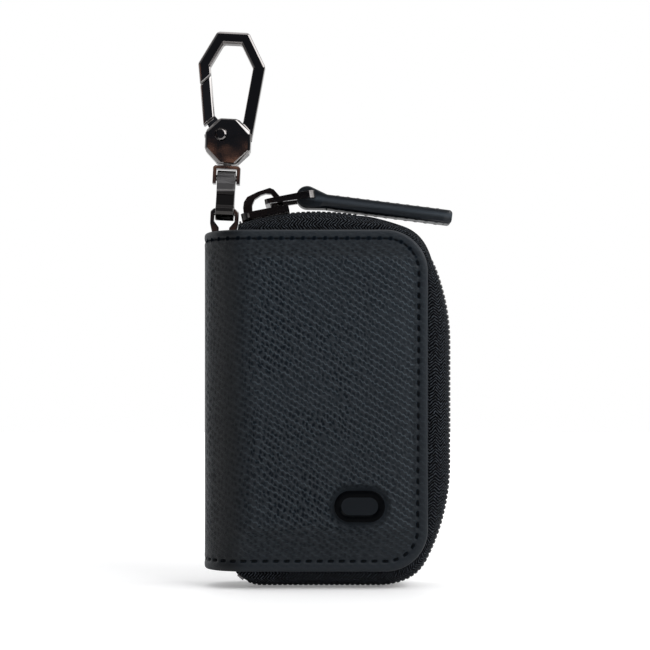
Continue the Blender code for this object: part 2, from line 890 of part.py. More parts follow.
def footprint_middle(runs):
    """X midway between the hook's left corner and the pull's tip."""
    hook_w = RING_SPAN + STRAP_SPAN + HOOK_RISE + HOOK_CORNER_W
    left = HANGER_X + hook_w * math.sin(HANGER_LEAN) - HOOK_HALF_WIDTH * math.cos(HANGER_LEAN)
    place, slope = pull_seat(runs)
    tip_top = PULL_THICKNESS / 2 - PULL_TIP_EDGE - PULL_DROP
    right = place.x + PULL_LENGTH * math.cos(slope) - tip_top * math.sin(slope)
    return (left + right) / 2


def make_slider(case, materials, runs):
    """Slider on the zip's top arc: two plates, turned-in flanges, a wedge and the bridge."""
    centre, radius = top_arc(runs)
    place, heading = slider_seat(runs)
    axis = make_empty("slider_axis", case, (centre.x, 0.0, centre.y))
    offset = place - centre
    frame = make_empty("slider_frame", axis, (offset.x, 0.0, offset.y), -heading)
    inside_top = SLIDER_CLEARANCE
    inside_foot = -TOOTH_HEIGHT - SLIDER_CLEARANCE
    nose = SLIDER_HALF_WIDTH * SLIDER_NOSE_SHARE
    reach = SLIDER_LENGTH / 2
    outline = rounded_box(-reach, reach, -SLIDER_HALF_WIDTH, SLIDER_HALF_WIDTH, (nose, 0, 0, nose))
    height = inside_top - inside_foot + 2 * SLIDER_PLATE
    body_middle = (inside_top + inside_foot) / 2
    body = plate(
        "slider_body", [outline], height, "XY", frame, materials["metal"], body_middle
    )
    cavity_half = SLIDER_HALF_WIDTH - SLIDER_WALL
    wedge_right = -SLIDER_LENGTH / 2 + SLIDER_WEDGE_LENGTH
    channel = [
        (SLIDER_LENGTH, -cavity_half),
        (SLIDER_LENGTH, cavity_half),
        (-SLIDER_LENGTH, cavity_half),
        (-SLIDER_LENGTH, SLIDER_WEDGE_HALF),
        (wedge_right, SLIDER_WEDGE_HALF),
        (wedge_right + SLIDER_WEDGE_HALF, 0.0),
        (wedge_right, -SLIDER_WEDGE_HALF),
        (-SLIDER_LENGTH, -SLIDER_WEDGE_HALF),
        (-SLIDER_LENGTH, -cavity_half),
    ]
    bend = SLIDER_LENGTH**2 / 8 / radius
    depth = inside_top - inside_foot + bend
    rows_cut = helper("slider_channel", [channel], depth, "XY", frame, body_middle - bend / 2)
    combine(body, rows_cut, "DIFFERENCE")
    slot_z = -TAPE_DROP - TAPE / 2 - bend / 2
    low = slot_z - SLIDER_SLOT / 2
    high = slot_z + SLIDER_SLOT / 2
    inner = cavity_half - GAP
    outer = SLIDER_HALF_WIDTH + OVERRUN
    for index, (left, right) in enumerate(((-outer, -inner), (inner, outer))):
        slot = rounded_box(left, right, low, high, (0, 0, 0, 0))
        cut = helper(f"slider_slot_{index}", [slot], SLIDER_LENGTH * 2, "YZ", frame)
        combine(body, cut, "DIFFERENCE")
    top = inside_top + SLIDER_PLATE
    shares = BRIDGE_OUTER_SHARES + BRIDGE_INNER_SHARES
    line = [(BRIDGE_REACH * u, top + BRIDGE_HEIGHT * v) for u, v in shares]
    bridge = helper("slider_bridge", [line], BRIDGE_WIDTH, "XZ", frame)
    combine(body, bridge, "UNION")
    carry(axis, "slider_body")
    return frame


def make_link(slider, materials):
    """Ring on the slider's bridge, thicker towards the pull."""
    rise = SLIDER_CLEARANCE + SLIDER_PLATE + LINK_SEAT_RISE
    axis = make_empty("link_axis", slider, (LINK_SEAT_ALONG, 0.0, rise), LINK_TILT)
    half = LINK_WIDTH / 2
    bar = LINK_BAR / 2
    outer = rounded_box(-bar, LINK_LENGTH + bar, -half, half, [half * LINK_CORNER_SHARE] * 4)
    inner = inset(outer, LINK_BAR)
    metal = materials["metal"]
    link = plate("pull_link", [outer, inner], LINK_PULL_THICKNESS, "XY", axis, metal)
    near = LINK_SLIDER_THICKNESS / 2
    far = LINK_PULL_THICKNESS / 2
    end = LINK_LENGTH + bar
    side = [(-LINK_BAR, -near), (bar, -near), (end, -far), (end + bar, -far)]
    side += [(u, -w) for u, w in reversed(side)]
    combine(link, helper("pull_link_side", [side], LINK_WIDTH * 2, "XZ", axis), "INTERSECT")
    bevel(link, SOFT_EDGE)
    return axis


def make_pull(link, materials, runs):
    """Leather strip folded round the link and sewn flat."""
    link_slope = slider_seat(runs)[1] - LINK_TILT
    slope = pull_seat(runs)[1]
    axis = make_empty("pull_axis", link, (LINK_LENGTH, 0.0, 0.0), link_slope - slope)
    foot = -PULL_DROP - PULL_THICKNESS / 2
    top = foot + PULL_THICKNESS
    loop_centre = (-PULL_LOOP_BACK, -PULL_LOOP_DROP)
    neck = hull(circle(loop_centre, PULL_LOOP_RADIUS, 20) + [(PULL_NECK, foot), (PULL_NECK, top)])
    turn = neck.index((PULL_NECK, top))
    tip = [
        (PULL_LENGTH - PULL_TIP_EDGE, foot),
        (PULL_LENGTH, foot + PULL_TIP_EDGE),
        (PULL_LENGTH, top - PULL_TIP_EDGE),
        (PULL_LENGTH - PULL_TIP_EDGE, top),
    ]
    hole = hull(circle(loop_centre, PULL_BORE, 12) + circle((0.0, 0.0), PULL_BORE, 12))
    pull = plate(
        "pull_leather",
        [neck[turn:] + neck[:turn] + tip, hole],
        PULL_WIDTH,
        "XZ",
        axis,
        materials["leather"],
    )
    wide = PULL_WIDTH / 2
    left = -PULL_LOOP_BACK - PULL_LOOP_RADIUS - OVERRUN
    corners = (0, PULL_TIP_RADIUS, PULL_TIP_RADIUS, 0)
    plan = rounded_box(left, PULL_LENGTH, -wide, wide, corners)
    combine(pull, helper("pull_plan", [plan], PULL_LENGTH, "XY", axis), "INTERSECT")
    bevel(pull, SOFT_EDGE)


# Hanger


def make_ring_tab(hanger, case, materials):
    """Leather tab round the ring's lower bar, with its tail behind the spine's leather."""
    tail = -TAB_ANCHOR_DROP - TAB_ANCHOR_HEIGHT / 2
    start = math.asin(TAB_TAIL_HALF / TAB_RADIUS) - math.pi / 2
    loop = arc((0.0, 0.0), TAB_RADIUS, start, math.tau - math.pi - start, 14)
    outline = [(-TAB_TAIL_HALF, tail), (TAB_TAIL_HALF, tail), *loop]
    tab = plate(
        "ring_tab",
        [outline, circle((0.0, 0.0), TAB_BORE, 12)],
        TAB_WIDTH,
        "YZ",
        hanger,
        materials["leather"],
    )
    left = LEATHER + GAP
    top = HANGER_Z - TAB_ANCHOR_DROP
    anchor_outline = rounded_box(left, TAB_ANCHOR_RIGHT, top - TAB_ANCHOR_HEIGHT, top, (0, 0, 0, 0))
    anchor = helper("ring_tab_anchor", [anchor_outline], 2 * TAB_TAIL_HALF, "XZ", case)
    combine(tab, anchor, "UNION")


def make_ring(hanger, materials):
    """Faceted ring: slots for the tab and the strap, and a narrow waist between them."""
    bar = RING_BAR / 2
    low = RING_SPAN * RING_FLARE_START_SHARE
    high = RING_SPAN * RING_FLARE_END_SHARE
    right = [
        (RING_FOOT_HALF - bar, -bar),
        (RING_FOOT_HALF, 0.0),
        (RING_FOOT_HALF, low),
        (RING_HEAD_HALF, high),
        (RING_HEAD_HALF, RING_SPAN),
        (RING_HEAD_HALF - bar, RING_SPAN + bar),
    ]
    outer = right + [(-u, w) for u, w in reversed(right)]
    strap_half = STRAP_WIDTH / 2 + GAP
    slot_top = RING_SPAN - bar
    slot_foot = bar
    hole_right = [
        (RING_TAB_SLOT_HALF, slot_foot),
        (RING_TAB_SLOT_HALF, slot_foot + RING_SLOT_LENGTH),
        (RING_WAIST_HALF, slot_foot + RING_SLOT_LENGTH + RING_BAR),
        (RING_WAIST_HALF, slot_top - RING_SLOT_LENGTH - RING_BAR),
        (strap_half, slot_top - RING_SLOT_LENGTH),
        (strap_half, slot_top),
    ]
    hole = hole_right + [(-u, w) for u, w in reversed(hole_right)]
    plate("ring", [outer, hole], RING_THICKNESS, "XZ", hanger, materials["metal"], 0.0, METAL_EDGE)


def make_strap(hanger, materials):
    """Metal strap round the ring's upper bar and the stirrup's pin, pinched between them."""
    axis = make_empty("strap_axis", hanger, (0.0, 0.0, RING_SPAN))
    foot = arc((0.0, 0.0), STRAP_FOOT_RADIUS, -math.pi / 2, math.pi / 4, 6)
    head = arc((0.0, STRAP_SPAN), STRAP_TOP_RADIUS, -math.pi / 4, math.pi / 2, 6)
    right = foot + [(STRAP_WAIST_HALF, STRAP_SPAN / 2)] + head
    left = [(-y, w) for y, w in reversed(right[1:-1])]
    bores = [
        circle((0.0, 0.0), STRAP_FOOT_BORE, 12),
        circle((0.0, STRAP_SPAN), PIN_RADIUS + GAP, 12),
    ]
    outlines = [right + left, *bores]
    strap = plate("strap_link", outlines, STRAP_WIDTH, "YZ", axis, materials["metal"])
    smooth(strap)
    return axis


def make_stirrup(strap_axis, materials):
    """Fork with a cross pin, and the headed post that the hook turns on."""
    axis = make_empty("stirrup_axis", strap_axis, (0.0, 0.0, STRAP_SPAN))
    web_foot = STRAP_TOP_RADIUS + GAP
    web_top = web_foot + STIRRUP_WEB
    inner = STRAP_WIDTH / 2 + GAP
    outer = inner + STIRRUP_EAR
    chamfer = STIRRUP_WEB / 2
    outline = [
        (-outer, -STIRRUP_EAR_DROP),
        (-inner, -STIRRUP_EAR_DROP),
        (-inner, web_foot),
        (inner, web_foot),
        (inner, -STIRRUP_EAR_DROP),
        (outer, -STIRRUP_EAR_DROP),
        (outer, web_top - chamfer),
        (outer - chamfer, web_top),
        (-outer + chamfer, web_top),
        (-outer, web_top - chamfer),
    ]
    body = plate("swivel_stirrup", [outline], STIRRUP_DEPTH, "XZ", axis, materials["metal"])
    half = inner + STIRRUP_EAR / 2
    pin_profile = rod_profile(PIN_RADIUS, -half, half)
    pin = turned("stirrup_pin", pin_profile, "X", axis, None, (0.0, 0.0, 0.0), True)
    combine(body, pin, "UNION")
    neck = web_top - STIRRUP_WEB / 2
    head = HOOK_RISE + POST_LENGTH
    profile = [
        (0.0, neck),
        (POST_RADIUS, neck),
        (POST_RADIUS, head - POST_HEAD),
        (POST_HEAD_RADIUS, head - POST_HEAD),
        (POST_HEAD_RADIUS, head),
        (0.0, head),
    ]
    post = turned("stirrup_post", profile, "Z", axis, None, (0.0, 0.0, 0.0), True)
    combine(body, post, "UNION")
    return axis


# Snap hook


def hook_outline():
    points = [(HOOK_HALF_WIDTH * u, HOOK_HEIGHT * w) for u, w in HOOK_SHARES]
    return points[::-1]


def left_edge(outline, w):
    """U at a height on the straight edge from an outline's lower left corner up to its widest."""
    corner = min(outline, key=lambda p: p[0])
    foot = min((p for p in outline if p[1] < corner[1]), key=lambda p: p[0])
    share = (w - foot[1]) / (corner[1] - foot[1])
    return foot[0] + (corner[0] - foot[0]) * share


def gate_bar(shift=0.0):
    """The gate's bar in the hook's left side; shift lengthens it at both ends."""
    outer = hook_outline()
    inner = inset(outer, HOOK_BAR)
    foot_out = GATE_PIVOT_W + GATE_FOOT_OUTER_RISE - shift
    foot_in = GATE_PIVOT_W + GATE_FOOT_INNER_RISE - shift
    nose_in = HOOK_CORNER_W - GATE_NOSE_INNER_DROP + shift
    nose_out = HOOK_CORNER_W - GATE_NOSE_OUTER_DROP + shift
    return [
        (left_edge(outer, foot_out), foot_out),
        (left_edge(inner, foot_in), foot_in),
        (left_edge(inner, nose_in), nose_in),
        (left_edge(outer, nose_out), nose_out),
    ]


def gate_foot():
    """The gate's thin foot, from its bar to the rivet."""
    bar = gate_bar()
    hub = circle((GATE_PIVOT_U, GATE_PIVOT_W), GATE_HUB_RADIUS, 16)
    ends = (GATE_FOOT_EDGE_SHARE, 1 - GATE_FOOT_EDGE_SHARE)
    into_bar = [Vector(bar[0]).lerp(Vector(bar[1]), share) for share in ends]
    lift = [Vector((point.x, point.y + GATE_FOOT_DEPTH)) for point in into_bar]
    return hull(hub + [tuple(point) for point in lift])


def swept_foot():
    """The room that the foot needs from shut to open, with clearance."""
    pivot = Vector((GATE_PIVOT_U, GATE_PIVOT_W))
    steps = 3
    points = []
    for i in range(steps + 1):
        turn = Matrix.Rotation(-GATE_SWING * i / steps, 2)
        points += [pivot + turn @ (Vector(p) - pivot) for p in gate_foot()]
    return inset(hull([tuple(point) for point in points]), -GAP)


def gate_opening():
    """Outline of the room that the gate's bar takes out of the hook's left side."""
    foot_out, foot_in, nose_in, nose_out = gate_bar(GAP)
    left = min(foot_out[0], nose_out[0]) - OVERRUN
    right = foot_in[0] + OVERRUN
    return [
        (left, GATE_PIVOT_W),
        (right, GATE_PIVOT_W),
        (right, nose_in[1] + OVERRUN),
        nose_in,
        nose_out,
        (left, nose_out[1] + nose_out[1] - nose_in[1]),
    ]


def rivet_bore(name, frame):
    """Cutter for the hole that the gate's rivet passes through."""
    profile = rod_profile(RIVET_RADIUS + GAP, -BOSS_DEPTH, BOSS_DEPTH)
    return turned(name, profile, "Y", frame, None, (GATE_PIVOT_U, 0.0, GATE_PIVOT_W), True)


def spring_room():
    """Heights behind the gate's foot between which its spring lies."""
    low = GATE_FOOT_DEPTH / 2 + GAP
    return low, low + SPRING_TURNS * SPRING_PITCH + SPRING_WIRE


def make_hook_frame(frame, materials):
    """Six-sided hook with an eight-sided boss, slotted for the gate and bored for the post."""
    outer = hook_outline()
    outlines = [outer, inset(outer, HOOK_BAR)]
    hook = plate("hook_frame", outlines, HOOK_DEPTH, "XZ", frame, materials["metal"])
    bevel(hook, METAL_EDGE)
    opening = helper("gate_opening", [gate_opening()], BOSS_DEPTH * 2, "XZ", frame)
    combine(hook, opening, "DIFFERENCE")
    centre = (0.0, BOSS_FOOT + BOSS_WIDTH / 2)
    corner = BOSS_WIDTH / 2 / math.cos(math.pi / 8)
    octagon = arc(centre, corner, math.pi / 8, math.tau + math.pi / 8, 8)[:-1]
    boss = helper("boss", [octagon], BOSS_DEPTH, "XZ", frame)
    bevel(boss, BOSS_EDGE)
    combine(hook, boss, "UNION")
    slot_depth = GATE_FOOT_DEPTH + 2 * GAP
    combine(hook, helper("gate_slot", [swept_foot()], slot_depth, "XZ", frame), "DIFFERENCE")
    pocket_top = spring_room()[1] + GAP
    pocket_radius = SPRING_RADIUS + SPRING_WIRE / 2 + GAP
    pocket_profile = rod_profile(pocket_radius, -pocket_top, 0.0)
    place = (GATE_PIVOT_U, 0.0, GATE_PIVOT_W)
    pocket = turned("spring_pocket", pocket_profile, "Y", frame, None, place, True)
    combine(hook, pocket, "DIFFERENCE")
    bore_top = POST_LENGTH + GAP
    head_foot = POST_LENGTH - POST_HEAD - GAP
    profile = [
        (0.0, -OVERRUN),
        (POST_RADIUS + GAP, -OVERRUN),
        (POST_RADIUS + GAP, head_foot),
        (POST_HEAD_RADIUS + GAP, head_foot),
        (POST_HEAD_RADIUS + GAP, bore_top),
        (0.0, bore_top),
    ]
    bore = turned("post_bore", profile, "Z", frame, None, (0.0, 0.0, 0.0), True)
    combine(hook, bore, "DIFFERENCE")
    combine(hook, rivet_bore("rivet_hole", frame), "DIFFERENCE")


def make_gate(frame, materials):
    """Gate: a bar in the hook's line, and a thin foot with the rivet's hole."""
    gate = plate("hook_gate", [gate_bar()], HOOK_DEPTH, "XZ", frame, materials["metal"])
    bevel(gate, METAL_EDGE)
    combine(gate, helper("gate_foot", [gate_foot()], GATE_FOOT_DEPTH, "XZ", frame), "UNION")
    combine(gate, rivet_bore("gate_hole", frame), "DIFFERENCE")
    axis = make_empty("gate_axis", frame, (GATE_PIVOT_U, 0.0, GATE_PIVOT_W))
    carry(axis, "hook_gate")


def make_gate_spring(frame, materials):
    """Coil round the rivet, behind the gate's foot, that shuts the gate."""
    low = spring_room()[0] + SPRING_WIRE / 2
    curve = bpy.data.curves.new("gate_spring", "CURVE")
    curve.dimensions = "3D"
    curve.bevel_depth = SPRING_WIRE / 2
    curve.bevel_resolution = 1
    curve.use_fill_caps = True
    spline = curve.splines.new("POLY")
    count = SPRING_TURNS * SPRING_TURN_POINTS + 1
    spline.points.add(count - 1)
    for i, point in enumerate(spline.points):
        turns = i / SPRING_TURN_POINTS
        x = SPRING_RADIUS * math.cos(math.tau * turns)
        z = SPRING_RADIUS * math.sin(math.tau * turns)
        point.co = (x, low + turns * SPRING_PITCH, z, 1.0)
    spring = bpy.data.objects.new("gate_spring", curve)
    PARTS.objects.link(spring)
    spring.parent = frame
    spring.location = (GATE_PIVOT_U, 0.0, GATE_PIVOT_W)
    curve.materials.append(materials["steel"])


def make_rivet(frame, materials):
    face = BOSS_DEPTH / 2 + GAP
    profile = [
        (0.0, -face - RIVET_HEAD),
        (RIVET_HEAD_RADIUS - SOFT_EDGE, -face - RIVET_HEAD),
        (RIVET_HEAD_RADIUS, -face),
        (RIVET_RADIUS, -face),
        (RIVET_RADIUS, face),
        (RIVET_HEAD_RADIUS, face),
        (RIVET_HEAD_RADIUS - SOFT_EDGE, face + RIVET_HEAD),
        (0.0, face + RIVET_HEAD),
    ]
    place = (GATE_PIVOT_U, 0.0, GATE_PIVOT_W)
    turned("gate_rivet", profile, "Y", frame, materials["metal"], place)


# Plate on the cover and the key rack inside


def make_badge(case, materials):
    """Bare pill-shaped plate at the front cover's lower right."""
    half = BADGE_HEIGHT / 2
    reach = BADGE_LENGTH / 2
    x = COVER_WIDTH - BADGE_FORE_MARGIN
    z = COVER_BOTTOM + BADGE_RISE
    corner = half * BADGE_ROUND_SHARE
    outline = rounded_box(x - reach, x + reach, z - half, z + half, [corner] * 4)
    middle = HALF_DEPTH + GAP + BADGE_THICKNESS / 2
    plate("badge_plate", [outline], BADGE_THICKNESS, "XZ", case, materials["gloss"], middle)


def rack_hook_x(index):
    return RACK_LEFT + RACK_WIDTH / 2 + KEY_HOOK_PITCH * (index - (KEY_HOOKS - 1) / 2)


def rivet_places():
    left = RACK_LEFT + RACK_RIVET_INSET
    right = RACK_LEFT + RACK_WIDTH - RACK_RIVET_INSET
    return [(left, RACK_Z), (right, RACK_Z)]


def make_rack(case, materials):
    """Plate riveted to the back lining, with a headed stud for each key hook."""
    outline = rounded_box(
        RACK_LEFT,
        RACK_LEFT + RACK_WIDTH,
        RACK_Z - RACK_HEIGHT / 2,
        RACK_Z + RACK_HEIGHT / 2,
        [RACK_RIVET_INSET] * 4,
    )
    holes = [circle(place, RACK_RIVET_RADIUS + GAP, 10) for place in rivet_places()]
    face = LINING_INNER - GAP
    middle = RACK_THICKNESS / 2 - face
    outlines = [outline, *holes]
    rack = plate("key_rack", outlines, RACK_THICKNESS, "XZ", case, materials["steel"], middle)
    inner = face - RACK_THICKNESS
    head_face = inner - KEY_HOOK_THICKNESS - 2 * GAP
    profile = [
        (0.0, -inner - RACK_THICKNESS / 2),
        (STUD_RADIUS, -inner - RACK_THICKNESS / 2),
        (STUD_RADIUS, -head_face),
        (STUD_HEAD_RADIUS, -head_face),
        (STUD_HEAD_RADIUS, -head_face + STUD_HEAD),
        (0.0, -head_face + STUD_HEAD),
    ]
    for index in range(KEY_HOOKS):
        place = (rack_hook_x(index), 0.0, RACK_Z)
        combine(rack, turned(f"stud_{index + 1}", profile, "Y", case, None, place, True), "UNION")


def make_rack_rivets(case, materials):
    """Rivets from the rack through the lining, headed on both sides."""
    face = LINING_INNER - GAP
    inner = face - RACK_THICKNESS
    back_face = BOARD_OUTER - BOARD - GAP / 2
    for index, (x, z) in enumerate(rivet_places()):
        profile = [
            (0.0, -back_face),
            (RACK_RIVET_RADIUS, -back_face),
            (RACK_RIVET_RADIUS, -inner + GAP),
            (RACK_RIVET_HEAD_RADIUS, -inner + GAP),
            (RACK_RIVET_HEAD_RADIUS, -inner + GAP + STUD_HEAD),
            (0.0, -inner + GAP + STUD_HEAD),
        ]
        turned(f"rack_rivet_{index + 1}", profile, "Y", case, materials["steel"], (x, 0.0, z))
        hole = turned(
            f"lining_hole_{index + 1}",
            rod_profile(RACK_RIVET_RADIUS + GAP, -CASE_DEPTH, 0.0),
            "Y",
            case,
            None,
            (x, 0.0, z),
            True,
        )
        combine(bpy.data.objects["back_lining"], hole, "DIFFERENCE")


def key_hook_lines():
    """Centre line of a key hook from its hub down, round its foot and up to the lip."""
    half = KEY_HOOK_WIDTH / 2 - KEY_HOOK_WIRE / 2
    foot = -KEY_HOOK_LENGTH + KEY_HOOK_HUB_RADIUS + half + KEY_HOOK_WIRE / 2
    shoulder = -KEY_HOOK_HUB_RADIUS - half
    lip = foot + (shoulder - foot) * KEY_HOOK_LIP_SHARE
    start = (KEY_HOOK_HUB_RADIUS - KEY_HOOK_WIRE / 2, -KEY_HOOK_WIRE / 2)
    bend = arc((0.0, foot), half, 0.0, -math.pi, 8)
    return [start, (half, shoulder), *bend, (-half, lip)]


def make_key_hooks(case, materials):
    """Four hooks that swing on the rack's studs, each shut by a spring tongue."""
    steel = materials["steel"]
    middle = KEY_HOOK_THICKNESS / 2 - (LINING_INNER - GAP - RACK_THICKNESS - GAP)
    line = key_hook_lines()
    lip = line[-1]
    hub = circle((0.0, 0.0), KEY_HOOK_HUB_RADIUS, 14)
    hub_hole = circle((0.0, 0.0), STUD_RADIUS + GAP, 10)
    root_x = TONGUE_HUB_RADIUS - KEY_HOOK_HUB_RADIUS
    root_z = -KEY_HOOK_HUB_RADIUS - TONGUE_HUB_RADIUS - GAP
    end = (lip[0] + KEY_HOOK_WIRE / 2 + TONGUE_WIDTH / 2 + GAP, lip[1] - TONGUE_WIDTH)
    leaf = ribbon([(root_x, root_z), (root_x, (root_z + end[1]) / 2), end], TONGUE_WIDTH)
    wire = ribbon(line, KEY_HOOK_WIRE)
    thick = KEY_HOOK_THICKNESS
    for index in range(KEY_HOOKS):
        number = index + 1
        axis = make_empty(f"key_hook_axis_{number}", case, (rack_hook_x(index), 0.0, RACK_Z))
        hook = plate(f"key_hook_{number}", [hub], thick, "XZ", axis, steel, middle)
        wire_piece = helper(f"hook_wire_{number}", [wire], thick, "XZ", axis, middle)
        combine(hook, wire_piece, "UNION")
        bore = helper(f"hook_bore_{number}", [hub_hole], thick * 2, "XZ", axis, middle)
        combine(hook, bore, "DIFFERENCE")
        plate(f"hook_tongue_{number}", [leaf], thick, "XZ", axis, steel, middle)
        root = make_empty(f"tongue_axis_{number}", axis, (root_x, 0.0, root_z))
        carry(root, f"hook_tongue_{number}")


def make_materials():
    """Finishes as photographed: charcoal leather, black tape and dark polished metal."""
    return {
        "leather": make_material("Embossed leather", (0.020, 0.024, 0.031), 0.45, 0.0),
        "lining": make_material("Lining", (0.012, 0.013, 0.016), 0.85, 0.0),
        "board": make_material("Board", (0.20, 0.17, 0.13), 0.90, 0.0),
        "tape": make_material("Zip tape", (0.010, 0.010, 0.012), 0.90, 0.0),
        "tooth": make_material("Zip teeth", (0.012, 0.012, 0.014), 0.40, 0.0),
        "metal": make_material("Gunmetal", (0.10, 0.095, 0.095), 0.22, 1.0),
        "steel": make_material("Nickel steel", (0.55, 0.54, 0.52), 0.28, 1.0),
        "gloss": make_material("Gloss plate", (0.010, 0.010, 0.011), 0.08, 0.0),
    }


PARTS = None
HELPERS = None


def make_inside(case, materials):
    """Pieces that show only when the case is open."""
    make_boards(case, materials)
    make_linings(case, materials)
    make_pocket(case, materials)
    make_rack(case, materials)
    make_rack_rivets(case, materials)
    make_key_hooks(case, materials)


def make_hanger(case, materials):
    """Everything that hangs on the spine: tab, ring, strap, swivel and snap hook."""
    ring_axis = make_empty("ring_axis", case, (HANGER_X, 0.0, HANGER_Z), HANGER_LEAN)
    make_ring_tab(ring_axis, case, materials)
    make_ring(ring_axis, materials)
    strap_axis = make_strap(ring_axis, materials)
    stirrup_axis = make_stirrup(strap_axis, materials)
    hook_axis = make_empty("hook_axis", stirrup_axis, (0.0, 0.0, HOOK_RISE))
    make_hook_frame(hook_axis, materials)
    make_gate(hook_axis, materials)
    make_gate_spring(hook_axis, materials)
    make_rivet(hook_axis, materials)


def hang_on_folds(case):
    """Two fold lines beside the spine's leather carry the spine and the front half."""
    spine_axis = make_empty("spine_fold_axis", case, (FOLD_X, FOLD_Y, 0.0))
    front_axis = make_empty("front_fold_axis", spine_axis, (0.0, -2 * FOLD_Y, 0.0))
    carry(spine_axis, "spine_leather", "spine_lining", "ring_tab", "ring_axis")
    carry(front_axis, "front_cover", "front_board", "front_lining", "front_pocket")
    carry(front_axis, "front_tape", "front_teeth", "front_top_stop", "badge_plate")


def build():
    """Build the whole case."""
    global PARTS, HELPERS
    clear_scene()
    PARTS = make_collection("Key case")
    HELPERS = make_collection("Cutters")
    materials = make_materials()
    runs = zip_runs()
    case = make_empty("case_origin", None, (-footprint_middle(runs), 0.0, 0.0))
    make_leather(case, materials)
    make_badge(case, materials)
    make_inside(case, materials)
    make_tapes(case, materials, runs)
    make_teeth(case, materials, runs)
    make_stops(case, materials, runs)
    slider_frame = make_slider(case, materials, runs)
    link_axis = make_link(slider_frame, materials)
    make_pull(link_axis, materials, runs)
    make_hanger(case, materials)
    hang_on_folds(case)
    bpy.context.view_layer.update()


build()
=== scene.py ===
"""Looks of the zip-round key case: grained leather, woven zip, stitches and dark polished metal.

Units are metres. Sizes of the soft pieces repeat the named sizes of the model's own source, and
places come from the frame.
"""

import json
import math

import bmesh
import bpy
import numpy as np
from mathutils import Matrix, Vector
from mathutils.geometry import delaunay_2d_cdt

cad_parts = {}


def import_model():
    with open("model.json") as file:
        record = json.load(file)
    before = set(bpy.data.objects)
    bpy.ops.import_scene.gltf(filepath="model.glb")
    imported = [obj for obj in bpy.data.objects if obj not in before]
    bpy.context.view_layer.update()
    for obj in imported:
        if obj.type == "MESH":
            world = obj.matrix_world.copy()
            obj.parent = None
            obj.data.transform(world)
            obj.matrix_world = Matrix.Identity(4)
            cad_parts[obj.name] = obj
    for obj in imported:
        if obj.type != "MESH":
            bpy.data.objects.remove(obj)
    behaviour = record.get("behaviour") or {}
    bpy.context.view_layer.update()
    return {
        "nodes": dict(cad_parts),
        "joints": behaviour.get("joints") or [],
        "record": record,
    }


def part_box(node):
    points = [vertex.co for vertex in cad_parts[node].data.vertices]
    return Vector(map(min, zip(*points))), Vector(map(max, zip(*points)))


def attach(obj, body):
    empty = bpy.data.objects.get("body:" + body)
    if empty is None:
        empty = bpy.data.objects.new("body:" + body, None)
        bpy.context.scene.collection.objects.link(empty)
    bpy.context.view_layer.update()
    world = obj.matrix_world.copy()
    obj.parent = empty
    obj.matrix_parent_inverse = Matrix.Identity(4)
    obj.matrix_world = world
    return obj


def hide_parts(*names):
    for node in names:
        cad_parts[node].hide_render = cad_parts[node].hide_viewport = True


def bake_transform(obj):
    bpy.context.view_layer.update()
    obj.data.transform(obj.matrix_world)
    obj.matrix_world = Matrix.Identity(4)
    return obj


MM = 0.001
QUARTER = math.pi / 2
HALVES = ((-1, "front"), (1, "back"))
BLACK = (0.0, 0.0, 0.0)
WHITE = (1.0, 1.0, 1.0)
SPECULAR = "Specular IOR Level"

# Camera, from the photograph
PHOTO_PIXELS = 650
PIXEL_SIZE = 0.29 * MM
CAMERA_DISTANCE = 0.450
CAMERA_FROM_SPINE = 34.8 * MM
CAMERA_HEIGHT = 50.8 * MM
HORIZON_V = 410.0
SENSOR = 36.0

# Leather
LEATHER_THICKNESS = 1.4 * MM
EDGE_ROUND = 0.75 * MM
COVER_CORNER = 12.0 * MM
PAD_RISE = 0.40 * MM
PAD_START = 3.4 * MM
PAD_FULL = 9.0 * MM
CROWN_RISE = 0.10 * MM
BADGE_BED = 0.10 * MM
GRAIN_SLOPE = 33
GRAIN_ROW = 1.66 * MM
GRAIN_STEP = 1.36 * MM
# Middle of the painted shade band round the bend, measured from the spine's middle
BEND_SHADE_MIDDLE = 11.5 * MM
SHOULDER_BACK = 4.6 * MM
BEND_START_SHARE = 0.30

# Its mesh: points along the foot, a corner and the fore edge, and the steps inwards
FOOT_STEPS = 150
CORNER_STEPS = 44
FORE_STEPS = 190
RING_STEP = 0.34 * MM
BORDER_WIDTH = 5.1 * MM
INNER_STEP = 1.1 * MM
BADGE_STEP = 0.4 * MM
BADGE_NEAR = 3.2 * MM

# Stitches
STITCH_INSET_TOP = 2.5 * MM
STITCH_INSET_FOOT = 3.0 * MM
STITCH_PITCH = 3.1 * MM
STITCH_LENGTH = 1.75 * MM
THREAD = 0.42 * MM
THREAD_SUNK = 0.10 * MM
THREAD_DIP = 0.34 * MM
CHANNEL_DEPTH = 0.17 * MM
CHANNEL_HALF = 0.48 * MM
DENT_DEPTH = 0.30 * MM
PUCKER = 0.07 * MM
TOP_BAND = 7.0 * MM
TACK_SHARES = (0.0, 0.36, 0.72)
THREAD_RINGS = 9
THREAD_SIDES = 8

# Metal
METAL_EDGE = 0.16 * MM
METAL_EDGES = {
    "hook_frame": (0.20 * MM, 1, 25, False),
    "gate_rivet": (0.40 * MM, 1, 25, False),
    "strap_link": (0.30 * MM, 3, 12, True),
}
GATE_CHAMFER = 0.40 * MM
WELD_REACH = 0.001 * MM
STRAP_CREASE_SHARE = 0.60

